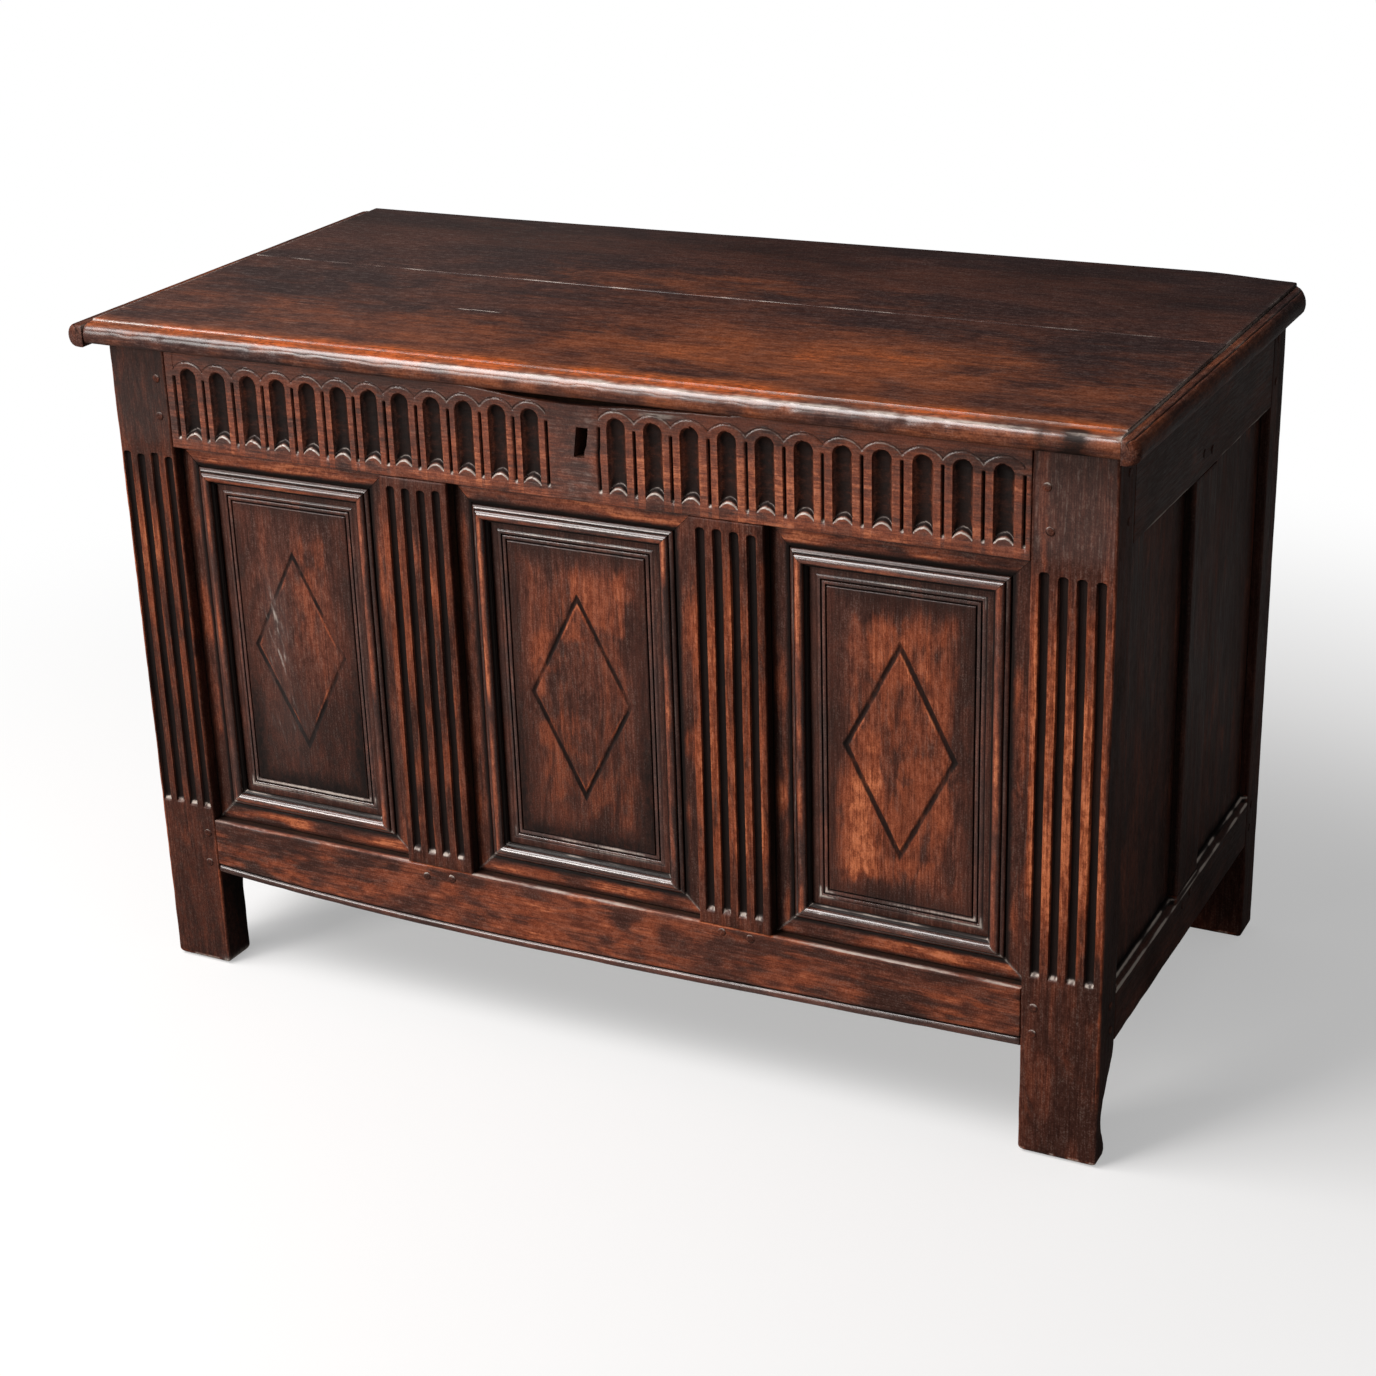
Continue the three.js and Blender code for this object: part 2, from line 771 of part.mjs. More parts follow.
// The thumb-nail nosing of the lid's front, as shares of its depth back from the front and of the
// lid's thickness up from the underside.
const nosing_shares = [
  [0.16, 0.0],
  [0.04, 0.12],
  [0.0, 0.42],
  [0.05, 0.66],
  [0.2, 0.83],
  [0.5, 0.92],
  [0.92, 0.95],
  [0.96, 0.9],
  [1.0, 1.0],
];

function lidBoards() {
  const front = -lid_front_overhang;
  const back = carcass_back + lid_back_overhang;
  const joint = front + lid_joint_from_front;
  const ends = [-lid_board_overhang, carcass_width + lid_board_overhang];
  const nosing = nosing_shares.map(([u, v]) => [front + u * lid_nosing_depth, lid_underside + v * lid_thickness]);
  const ease = lid_thickness / 8;
  const front_outline = [
    ...nosing,
    [joint - lid_board_gap / 2, lid_top],
    [joint - lid_board_gap / 2, lid_underside],
  ];
  const back_outline = [
    [joint + lid_board_gap / 2, lid_underside],
    [back - ease, lid_underside],
    [back, lid_underside + ease],
    [back, lid_top - ease],
    [back - ease, lid_top],
    [joint + lid_board_gap / 2, lid_top],
  ];
  return [front_outline, back_outline].map((outline) =>
    prism(outline.slice().reverse(), 'x', ends).intersect(lidPlan()));
}

// The section of the moulded strip on each end of the lid, as shares of its width out from the
// boards and of its height up from its underside: a flat, a quirk, a bead and a rounded edge.
const lid_end_shares = [
  [0.0, 0.0],
  [0.55, 0.0],
  [0.82, 0.1],
  [0.96, 0.3],
  [1.0, 0.52],
  [0.95, 0.74],
  [0.84, 0.9],
  [0.7, 0.97],
  [0.58, 0.98],
  [0.5, 0.92],
  [0.42, 1.0],
  [0.0, 1.0],
];

function lidEnd(side) {
  const inner = side < 0 ? -lid_board_overhang - joint_gap : carcass_width + lid_board_overhang + joint_gap;
  const low = lid_underside - lid_end_drop;
  const outline = lid_end_shares.map(([u, v]) => [inner + side * u * lid_end_width, low + v * lid_end_height]);
  const span = [-lid_front_overhang, carcass_back + lid_back_overhang];
  return prism(side < 0 ? outline.slice().reverse() : outline, 'y', span).intersect(lidPlan());
}

// The lid seen from above, with small rounded corners and one that is worn well round.
function lidPlan() {
  const reach = lid_board_overhang + joint_gap + lid_end_width;
  const [x0, x1] = [-reach, carcass_width + reach];
  const [y0, y1] = [-lid_front_overhang, carcass_back + lid_back_overhang];
  const small = lid_corner_radius;
  const worn = lid_worn_corner_radius;
  const shape = new THREE.Shape();
  shape.moveTo(x0 + small, y0);
  shape.absarc(x1 - small, y0 + small, small, -quarter_turn, 0, false);
  shape.absarc(x1 - worn, y1 - worn, worn, 0, quarter_turn, false);
  shape.absarc(x0 + small, y1 - small, small, quarter_turn, 2 * quarter_turn, false);
  shape.absarc(x0 + small, y0 + small, small, 2 * quarter_turn, 3 * quarter_turn, false);
  return prism(shape, 'z', grown([lid_underside - lid_end_drop, lid_top], cut_overrun));
}

function hingePlaces() {
  return [hinge_from_end, carcass_width - hinge_from_end];
}

// Half the width of the middle knuckle, and the span of each outer one.
function knuckleSpans(x) {
  const third = strap_width / 3;
  return {
    middle: grown([x - third / 2, x + third / 2], -joint_gap / 2),
    outer: [[x - strap_width / 2, x - third / 2 - joint_gap / 2], [x + third / 2 + joint_gap / 2, x + strap_width / 2]],
  };
}

const knuckle_axis = [knuckle_axis_y, knuckle_axis_z];

// The strap under the lid: a long pointed plate that ends in the hinge's middle knuckle.
function hingeStrap(x) {
  const heights = [carcass_height - iron_thickness, carcass_height];
  const near = carcass_back - joint_gap;
  const half = strap_width / 2;
  const far = near - strap_length;
  const outline = [
    [x - half, near],
    [x - half, far + strap_point_length],
    [x, far],
    [x + half, far + strap_point_length],
    [x + half, near],
  ];
  const { middle } = knuckleSpans(x);
  return prism(outline, 'z', heights)
    .add(box(middle, [near - cut_overrun, knuckle_axis_y], heights))
    .add(barAlongX(knuckle_radius, knuckle_axis, middle))
    .subtract(barAlongX(pin_hole_radius, knuckle_axis, grown(middle, cut_overrun)));
}

// The leaf on the outside of the back rail, which carries the two outer knuckles.
function hingeLeaf(x) {
  const { outer } = knuckleSpans(x);
  const half = strap_width / 2;
  const depths = [carcass_back + joint_gap, carcass_back + joint_gap + iron_thickness];
  const top = knuckle_axis_z - knuckle_radius - joint_gap;
  const plate = prism(
    [[x - half, top], [x - half, top - leaf_height + half], [x, top - leaf_height], [x + half, top - leaf_height + half], [x + half, top]],
    'y',
    depths,
  );
  return outer.reduce((leaf, span) => leaf
    .add(box(span, depths, [top - cut_overrun, knuckle_axis_z]))
    .add(barAlongX(knuckle_radius, knuckle_axis, span)), plate)
    .subtract(barAlongX(pin_hole_radius, knuckle_axis, [x - strap_width, x + strap_width]));
}

function hingePin(x) {
  const [start, end] = [x - strap_width / 2, x + strap_width / 2];
  const shank = barAlongX(pin_radius, knuckle_axis, [start - joint_gap - pin_head_height, end + joint_gap + pin_head_height]);
  const heads = [
    [start - joint_gap - pin_head_height, start - joint_gap],
    [end + joint_gap, end + joint_gap + pin_head_height],
  ];
  return heads.reduce((pin, span) => pin.add(barAlongX(pin_head_radius, knuckle_axis, span)), shank);
}

// Lock: places shared by its plate, case, bolt and staple
const lock_face = rail_thickness + joint_gap;
const lock_plate_back = lock_face + lock_plate_thickness;
const lock_case_front = lock_plate_back + joint_gap;
const lock_plate_high = carcass_height - lock_plate_drop;
const lock_case_high = lock_plate_high - lock_case_margin;
const lock_case_low = lock_plate_high - lock_plate_height + lock_case_margin;
const lock_case_half = lock_plate_width / 2 - lock_case_margin;
const staple_outer_depth = staple_eye_depth + 2 * staple_wire;
const staple_middle_y = lock_case_front + (lock_case_depth - lock_case_wall) / 2;
const bolt_middle_z = lock_case_high - bolt_from_case_top;

// The plate nailed inside the frieze, with the keyhole and the shelf that the bolt slides on.
function lockPlate() {
  const half = lock_plate_width / 2;
  const plate = box(
    [keyhole_middle - half, keyhole_middle + half],
    [lock_face, lock_plate_back],
    [lock_plate_high - lock_plate_height, lock_plate_high],
  );
  const shelf_high = bolt_middle_z - bolt_body_height / 2 - joint_gap;
  const shelf = box(
    [keyhole_middle - lock_case_half + lock_case_wall + joint_gap, keyhole_middle - keyhole_width / 2 - bolt_nose_length],
    [lock_plate_back - joint_gap, staple_middle_y + bolt_thickness / 2],
    [shelf_high - lock_shelf_thickness, shelf_high],
  );
  const keyhole = prism(keyholeOutline(joint_gap), 'y', grown([lock_face, lock_plate_back], cut_overrun));
  return plate.add(shelf).subtract(keyhole);
}

// The case over the works: five walls, with a slot in the top where the staple comes down.
function lockCase() {
  const xs = [keyhole_middle - lock_case_half, keyhole_middle + lock_case_half];
  const ys = [lock_case_front, lock_case_front + lock_case_depth];
  const zs = [lock_case_low, lock_case_high];
  const inside = box(
    grown(xs, -lock_case_wall),
    [ys[0] - cut_overrun, ys[1] - lock_case_wall],
    grown(zs, -lock_case_wall),
  );
  const half_slot = staple_width / 2 + staple_slot_clearance;
  const slot = box(
    [keyhole_middle - half_slot, keyhole_middle + half_slot],
    [ys[0] - cut_overrun, ys[1] - lock_case_wall],
    [zs[1] - lock_case_wall - cut_overrun, zs[1] + cut_overrun],
  );
  return box(xs, ys, zs).subtract(inside).subtract(slot);
}

// The sliding bolt: a bar with a notch for the key and a lower nose that enters the staple.
function lockBolt() {
  const nose_end = keyhole_middle - bolt_rest_gap - staple_width / 2;
  const nose_start = nose_end - bolt_nose_length;
  const start = nose_start - bolt_body_length;
  const [low, high] = [bolt_middle_z - bolt_body_height / 2, bolt_middle_z + bolt_body_height / 2];
  const [nose_low, nose_high] = [bolt_middle_z - bolt_nose_height / 2, bolt_middle_z + bolt_nose_height / 2];
  const notch = start + (bolt_body_length - bolt_notch_width) / 2;
  const outline = [
    [start, low],
    [notch, low],
    [notch, low + bolt_notch_height],
    [notch + bolt_notch_width, low + bolt_notch_height],
    [notch + bolt_notch_width, low],
    [nose_start, low],
    [nose_start, nose_low],
    [nose_end, nose_low],
    [nose_end, nose_high],
    [nose_start, nose_high],
    [nose_start, high],
    [start, high],
  ];
  return prism(outline, 'y', [staple_middle_y - bolt_thickness / 2, staple_middle_y + bolt_thickness / 2]);
}

// The staple under the lid: a plate, and a loop whose eye looks along the bolt.
function lockStaple() {
  const plate_low = lid_underside - joint_gap - staple_plate_thickness;
  const eye_low = bolt_middle_z - staple_eye_height / 2;
  const xs = [keyhole_middle - staple_width / 2, keyhole_middle + staple_width / 2];
  const loop = box(
    xs,
    [staple_middle_y - staple_outer_depth / 2, staple_middle_y + staple_outer_depth / 2],
    [eye_low - staple_wire, plate_low + staple_plate_thickness / 2],
  );
  const eye = box(
    grown(xs, cut_overrun),
    [staple_middle_y - staple_eye_depth / 2, staple_middle_y + staple_eye_depth / 2],
    [eye_low, eye_low + staple_eye_height],
  );
  const half_plate = staple_plate_width / 2;
  const plate_front = lock_face + cut_overrun;
  const plate = box(
    [keyhole_middle - half_plate, keyhole_middle + half_plate],
    [plate_front, plate_front + staple_plate_depth],
    [plate_low, plate_low + staple_plate_thickness],
  );
  return plate.add(loop).subtract(eye);
}

function mesh(name, solid, finish) {
  const made = new THREE.Mesh(toGeometry(solid), new THREE.MeshStandardMaterial(finish));
  made.name = name;
  return made;
}

function group(children) {
  const made = new THREE.Group();
  made.add(...children);
  return made;
}

// A frame's own pieces, as a group turned and moved to its side of the chest.
function frameGroup(frame, children) {
  const made = group(children);
  made.applyMatrix4(frame.place);
  return made;
}

function stiles() {
  const left = [0, left_stile_width];
  const right = [carcass_width - right_stile_width, carcass_width];
  return group([
    mesh('stile_front_left', stileSolid(left, true, true), oak_red),
    mesh('stile_front_right', stileSolid(right, true, true), oak_red),
    mesh('stile_back_left', stileSolid(left, false, false), oak),
    mesh('stile_back_right', stileSolid(right, false, false), oak),
  ]);
}

function frontFrame() {
  const names = ['left', 'middle', 'right'];
  const muntins = muntinSpans(front_frame).map((span, i) =>
    mesh(`muntin_front_${['left', 'right'][i]}`, cutAll(muntinSolid(front_frame, span), channels(span)), oak_red));
  const panels = front_frame.openings.map((opening, i) =>
    mesh(`panel_front_${names[i]}`, frontPanel(opening), oak_red));
  const mouldings = front_frame.openings.flatMap((opening, i) => ['top', 'bottom', 'left', 'right'].map((edge) =>
    mesh(`moulding_${names[i]}_${edge}`, mouldingStrip(opening, edge), oak)));
  return frameGroup(front_frame, [
    mesh('rail_frieze', friezeRail(), oak),
    mesh('rail_front_bottom', frontBottomRail(), oak_red),
    ...muntins,
    ...panels,
    ...mouldings,
  ]);
}

function sideFrameGroup(frame, side, panel_names) {
  const [muntin] = muntinSpans(frame);
  return frameGroup(frame, [
    mesh(`rail_${side}_top`, plainRail(frame, frame.top), oak),
    mesh(`rail_${side}_bottom`, sideBottomRail(frame), oak),
    mesh(`muntin_${side}`, muntinSolid(frame, muntin), oak),
    ...frame.openings.map((opening, i) =>
      mesh(`panel_${side}_${panel_names[i]}`, panelSolid(frame, opening), oak)),
  ]);
}

function backFrame() {
  const muntins = muntinSpans(back_frame).map((span, i) =>
    mesh(`muntin_back_${['right', 'left'][i]}`, muntinSolid(back_frame, span), oak_plain));
  const panels = back_frame.openings.map((opening, i) =>
    mesh(`panel_back_${['right', 'middle', 'left'][i]}`, panelSolid(back_frame, opening), oak_plain));
  return frameGroup(back_frame, [
    mesh('rail_back_top', backTopRail(), oak_plain),
    mesh('rail_back_bottom', backBottomRail(), oak_plain),
    ...muntins,
    ...panels,
  ]);
}

function floor() {
  return group(floorBoards().map((board, i) => mesh(`floor_board_${i + 1}`, board, oak_plain)));
}

function lid() {
  const [front_board, back_board] = lidBoards();
  return group([
    mesh('lid_board_front', front_board, oak_top),
    mesh('lid_board_back', back_board, oak_top),
    mesh('lid_end_left', lidEnd(-1), oak),
    mesh('lid_end_right', lidEnd(1), oak),
    ...hingePlaces().map((x, i) => mesh(`hinge_strap_${['left', 'right'][i]}`, hingeStrap(x), iron)),
    mesh('lock_staple', lockStaple(), iron),
  ]);
}

function hinges() {
  return group(hingePlaces().flatMap((x, i) => [
    mesh(`hinge_leaf_${['left', 'right'][i]}`, hingeLeaf(x), iron),
    mesh(`hinge_pin_${['left', 'right'][i]}`, hingePin(x), iron),
  ]));
}

function lock() {
  return group([
    mesh('lock_plate', lockPlate(), iron),
    mesh('lock_case', lockCase(), iron),
    mesh('lock_bolt', lockBolt(), iron),
  ]);
}

const chest = group([
  stiles(),
  frontFrame(),
  sideFrameGroup(left_frame, 'left', ['back', 'front']),
  sideFrameGroup(right_frame, 'right', ['front', 'back']),
  backFrame(),
  floor(),
  hinges(),
  lock(),
  lid(),
]);
chest.position.set(-carcass_width / 2, -(overall_front + overall_back) / 2, 0);

export default chest;
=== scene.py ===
"""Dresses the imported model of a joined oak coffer: worn and waxed carved timber, black iron, and a
plain pale stage seen from the photograph's angle."""

import math

import bpy
import numpy as np
from mathutils import Matrix, Vector


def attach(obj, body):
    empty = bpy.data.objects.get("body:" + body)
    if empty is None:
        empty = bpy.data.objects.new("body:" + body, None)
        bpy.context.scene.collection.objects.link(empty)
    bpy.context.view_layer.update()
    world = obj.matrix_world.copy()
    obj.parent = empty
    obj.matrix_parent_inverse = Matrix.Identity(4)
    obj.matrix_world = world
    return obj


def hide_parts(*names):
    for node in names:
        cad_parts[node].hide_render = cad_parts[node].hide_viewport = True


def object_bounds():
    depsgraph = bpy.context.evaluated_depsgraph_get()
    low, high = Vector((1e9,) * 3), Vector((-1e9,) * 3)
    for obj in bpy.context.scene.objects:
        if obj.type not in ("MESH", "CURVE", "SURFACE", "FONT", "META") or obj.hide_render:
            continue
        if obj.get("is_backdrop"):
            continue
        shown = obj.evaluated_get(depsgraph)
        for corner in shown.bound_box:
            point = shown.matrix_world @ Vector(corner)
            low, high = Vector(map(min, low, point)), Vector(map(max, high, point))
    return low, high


bl_info = {
    "name": "Oak Coffer Dressing",
    "version": (1, 0, 0),
    "blender": (4, 5, 0),
    "location": "View3D > Sidebar > Coffer",
    "description": "Builds the carved, worn and waxed timber of a joined oak coffer round its packed frame",
    "category": "Object",
}

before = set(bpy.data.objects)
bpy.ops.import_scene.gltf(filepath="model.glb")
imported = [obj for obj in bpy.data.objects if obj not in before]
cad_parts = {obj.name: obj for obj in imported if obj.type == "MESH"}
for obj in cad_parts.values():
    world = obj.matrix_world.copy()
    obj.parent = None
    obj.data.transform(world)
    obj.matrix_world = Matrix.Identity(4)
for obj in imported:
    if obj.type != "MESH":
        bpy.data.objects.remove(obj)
CAD_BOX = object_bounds()

# Sizes of the frame in millimetres, in the bench frame: x from the left end of the carcass, y back
# from its front face, z up from the floor.
MM = 0.001
WIDTH, DEPTH, HEIGHT = 1086.0, 550.0, 717.0
PLAN_SHIFT = np.array([-WIDTH / 2, -(562.3 - 27.0) / 2, 0.0])
POST_WIDTHS = (69.0, 79.0)
POST_DEPTH = 45.0
BOARD_THICKNESS = 28.0
MUNTIN_WIDTH = 78.5
FIT = 0.3
FRONT_RAIL = (POST_WIDTHS[0] + FIT, WIDTH - POST_WIDTHS[1] - FIT)
FRONT_LOW, FRONT_HIGH = 179.0, 607.5
RAIL_LOW, RAIL_SAG, RAIL_LEAN = 116.0, 10.6, 0.6
OPEN_WIDTH = WIDTH - sum(POST_WIDTHS) - 2 * MUNTIN_WIDTH
SIDE_LOW, SIDE_HIGH, SIDE_RAIL_LOW = 180.0, 619.0, 118.0
SIDE_MUNTIN = (240.0, 310.0)
BACK_LOW, BACK_HIGH = 182.0, 627.0
PANEL_FACE, SIDE_PANEL_FACE = 16.5, 9.5
PANEL_THICKNESS, PANEL_LIP, TONGUE, PANEL_BEVEL = 10.5, 6.6, 7.4, 28.0
LID_FRONT, LID_BACK = -27.0, 555.0
LID_LOW, LID_TOP, LID_END_LOW = 717.3, 739.7, 713.3
LID_BOARD_ENDS = (-7.5, 1093.5)
LID_JOINT = 295.0
LID_END_WIDTH, LID_LEFT_WIDTH, LID_LEFT_SPLAY = 17.0, 22.0, 23.0
LID_CORNER, LID_WORN_CORNER = 8.0, 34.0
HINGE_PLACES = (211.0, 875.0)
LOCK_BACK, STRAP_LOW = 30.8, 714.0
ARRIS = 1.4


def openings_from(start, widths):
    """Openings side by side from a start, each pair with a muntin between: a list of (left, right)."""
    spans = []
    for width in widths:
        spans.append((start, start + width))
        start += width + MUNTIN_WIDTH
    return spans


FRONT_OPENINGS = openings_from(POST_WIDTHS[0], [s * OPEN_WIDTH for s in (0.3246, 0.3412, 0.3342)])
BACK_OPENINGS = openings_from(POST_WIDTHS[1], [OPEN_WIDTH / 3] * 3)
SIDE_OPENINGS = [(POST_DEPTH, SIDE_MUNTIN[0]), (SIDE_MUNTIN[1], DEPTH - POST_DEPTH)]

# Each side of the chest: the cosine and sine of its turn about z, and the corner it starts from.
SIDES = {
    "front": (1, 0, 0.0, 0.0),
    "right": (0, 1, WIDTH, 0.0),
    "back": (-1, 0, WIDTH, DEPTH),
    "left": (0, -1, 0.0, DEPTH),
}


# Noise, reliefs and masks

LATTICE = 64
MASK_STEP, NEAR_CELLS, WIDE_CELLS = 0.8, 3, 8


def between(grid, i, j, f, g):
    """A grid's value at the shares f and g past its point i, j, by straight interpolation."""
    low = grid[i, j] * (1 - f) + grid[i + 1, j] * f
    high = grid[i, j + 1] * (1 - f) + grid[i + 1, j + 1] * f
    return low * (1 - g) + high * g


def ripple(u, v, size, seed):
    """Smooth noise from -1 to 1: random heights on a lattice of the given size, joined by 3t^2 - 2t^3."""
    table = np.random.default_rng(seed).random((LATTICE, LATTICE)) * 2 - 1
    a, b = np.asarray(u) / size + 512.37, np.asarray(v) / size + 512.71
    i, j = np.floor(a).astype(int), np.floor(b).astype(int)
    f, g = a - i, b - j
    f, g = f * f * (3 - 2 * f), g * g * (3 - 2 * g)
    return between(np.pad(table, (0, 1), mode="wrap"), i % LATTICE, j % LATTICE, f, g)


def unit(value):
    """The value held between 0 and 1."""
    return np.clip(value, 0, 1)


def ease(value, low, high):
    """0 below low, 1 above high, and 3t^2 - 2t^3 between."""
    t = unit((value - low) / (high - low))
    return t * t * (3 - 2 * t)


def within(value, low, high, soft):
    """1 between low and high, easing to 0 over soft at both ends, outside which it is 0."""
    return ease(value, low, low + soft) * (1 - ease(value, high - soft, high))


def hump(value, middle, reach):
    """A bell: exp(-((value - middle) / reach)^2)."""
    return np.exp(-(((value - middle) / reach) ** 2))


def inset_of(x, z, x0, x1, z0, z1):
    """How far a place lies inside a rectangle."""
    return np.minimum.reduce([x - x0, x1 - x, z - z0, z1 - z])


def smear(field, cells):
    """The mean over a square window, taken twice, with the edges carried outward."""
    window = 2 * cells + 1
    for axis in (0, 1, 0, 1):
        margin = [(cells + 1, cells) if a == axis else (0, 0) for a in (0, 1)]
        total = np.cumsum(np.pad(field, margin, mode="edge"), axis=axis)
        size = total.shape[axis]
        ahead = np.take(total, np.arange(window, size), axis)
        field = (ahead - np.take(total, np.arange(size - window), axis)) / window
    return field


def relief_masks(depth, x, z):
    """How far each point stands proud of its near surroundings, and how deep it lies under its wide ones.

    The relief is sampled on an even lattice, its mean over each reach is taken away, and the result is
    read back at x, z by straight interpolation.
    """
    xs, zs = (np.arange(v.min(), v.max() + MASK_STEP, MASK_STEP) for v in (x, z))
    field = depth(*np.meshgrid(xs, zs, indexing="ij"))
    a = np.clip((x - xs[0]) / MASK_STEP, 0, len(xs) - 1.001)
    b = np.clip((z - zs[0]) / MASK_STEP, 0, len(zs) - 1.001)
    i, j = a.astype(int), b.astype(int)
    masks = (smear(field, NEAR_CELLS) - field, field - smear(field, WIDE_CELLS))
    return [between(mask, i, j, a - i, b - j) for mask in masks]


def gouge(x, z, middle, low, high, width, depth, rise, slope, squat=1.0):
    """A hollow down the face: depth * sqrt(1 - t^2 - h^2), with t across it and h up its head, which
    is squat times as tall as a round one.

    Its foot stands at low + rise * (1 - t^2), and its floor falls away from the foot by 1 in slope.
    """
    half = width / 2
    t = (x - middle) / half
    head = np.clip((z - high + half * squat) / (half * squat), 0, None)
    hollow = depth * np.sqrt(np.clip(1 - t * t - head * head, 0, None))
    foot = np.clip((z - low - rise * (1 - t * t)) / slope, 0, None)
    return np.minimum(hollow, foot)


def vee(distance, half_width, depth):
    """A V-shaped cut: depth at its middle line, nothing past its half width."""
    return depth * unit(1 - np.abs(distance) / half_width)


def worn_arris(distance, radius):
    """The drop of a rounded edge: r - sqrt(r^2 - (r - distance)^2) within the radius."""
    inside = np.clip(radius - distance, 0, radius)
    return radius - np.sqrt(np.clip(radius**2 - inside**2, 0, None))


def merged(*lists, gap=0.3):
    """Places from several lists in order, where a place nearer than the gap to the last is dropped."""
    places = np.sort(np.concatenate([np.atleast_1d(np.asarray(part, float)) for part in lists]))
    kept = [places[0]]
    for place in places[1:-1]:
        if place - kept[-1] >= gap and places[-1] - place >= gap:
            kept.append(place)
    return np.array(kept + [places[-1]])


def edge_places(low, high, radius=ARRIS):
    """Places close to both ends of a span, to draw their rounded edges."""
    steps = radius * np.array([0.0, 0.15, 0.45, 1.0])
    return np.concatenate([low + steps, high - steps])


def span_places(low, high, step, *more, radius=ARRIS, gap=0.3):
    """Places along a span at an even step, with those of its rounded edges and any more."""
    return merged(edge_places(low, high, radius), np.arange(low, high, step), *more, gap=gap)


# Meshes


def to_side(points, side):
    """Turns points from a side's own plane (x along it, y inward, z up) to the bench frame."""
    cos, sin, corner_x, corner_y = SIDES[side]
    x, y, z = points.T
    return np.stack([corner_x + cos * x - sin * y, corner_y + sin * x + cos * y, z], axis=-1)


def quads_of(rows, columns, closed=False):
    """Quads of a grid of points stored row by row; closed joins the last column to the first."""
    r = np.arange(rows - 1)[:, None] * columns
    c = np.arange(columns if closed else columns - 1)[None, :]
    n = (c + 1) % columns
    return np.stack([r + c, r + n, r + columns + n, r + columns + c], axis=-1).reshape(-1, 4)


def rim_of(rows, i0, i1, j0, j1):
    """The points round a rectangle of a grid in order, when each of its columns has so many rows."""
    return np.concatenate([np.arange(i0, i1) * rows + j0, i1 * rows + np.arange(j0, j1),
                           np.arange(i1, i0, -1) * rows + j1, i0 * rows + np.arange(j1, j0, -1)])


def enclosed_volume(points, faces):
    """Six times the signed volume: the sum of a . (b x c) over a fan of each face."""
    total = 0.0
    for face_set in faces:
        for k in range(1, face_set.shape[1] - 1):
            a, b, c = points[face_set[:, 0]], points[face_set[:, k]], points[face_set[:, k + 1]]
            total += np.einsum("ij,ij->", a, np.cross(b, c))
    return total


def grain_of(points, along, seed):
    """The grain's own coordinates in metres: along the board first, then across and through it."""
    order = {"x": (0, 1, 2), "y": (1, 0, 2), "z": (2, 0, 1)}[along]
    return points[:, order] * MM + np.random.default_rng(seed).random(3) * 7


def add_piece(name, points, faces, wear, along, seed, finish="stained_oak", body="carcass",
              side="front", own_node=True, crisp=42):
    """Makes a piece that faces outward and rides on a body, in place of the CAD node of its name.

    The points are millimetres in the plane of a side, and faces is a list of arrays of point numbers.
    The grain runs along an axis, and wear holds the values of the finish's attributes at the points.
    """
    grain = grain_of(points, along, seed)
    points = to_side(points, side)
    if enclosed_volume(points - points.mean(axis=0), faces) < 0:
        faces = [face_set[:, ::-1] for face_set in faces]
    mesh = bpy.data.meshes.new(name)
    mesh.from_pydata((points + PLAN_SHIFT) * MM, [], [f for face_set in faces for f in face_set.tolist()])
    layer = mesh.attributes.new("grain", "FLOAT_VECTOR", "POINT")
    layer.data.foreach_set("vector", grain.astype(np.float32).ravel())
    for key, values in wear.items():
        layer = mesh.attributes.new(key, "FLOAT", "POINT")
        layer.data.foreach_set("value", unit(values).astype(np.float32).ravel())
    mesh.polygons.foreach_set("use_smooth", np.ones(len(mesh.polygons), bool))
    mesh.set_sharp_from_angle(angle=math.radians(crisp))
    mesh.materials.append(finish_named(finish))
    mesh.update()
    made = bpy.data.objects.new(name, mesh)
    bpy.context.scene.collection.objects.link(made)
    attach(made, body)
    if own_node:
        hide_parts(name)


def swept(name, rings, *looks, **settings):
    """A closed skin over rings of equally many points, shut by a flat face at each end."""
    rows, columns = rings.shape[:2]
    end = np.arange(columns)[None, :]
    faces = [quads_of(rows, columns, closed=True), end[:, ::-1], end + (rows - 1) * columns]
    add_piece(name, rings.reshape(-1, 3), faces, *looks, **settings)


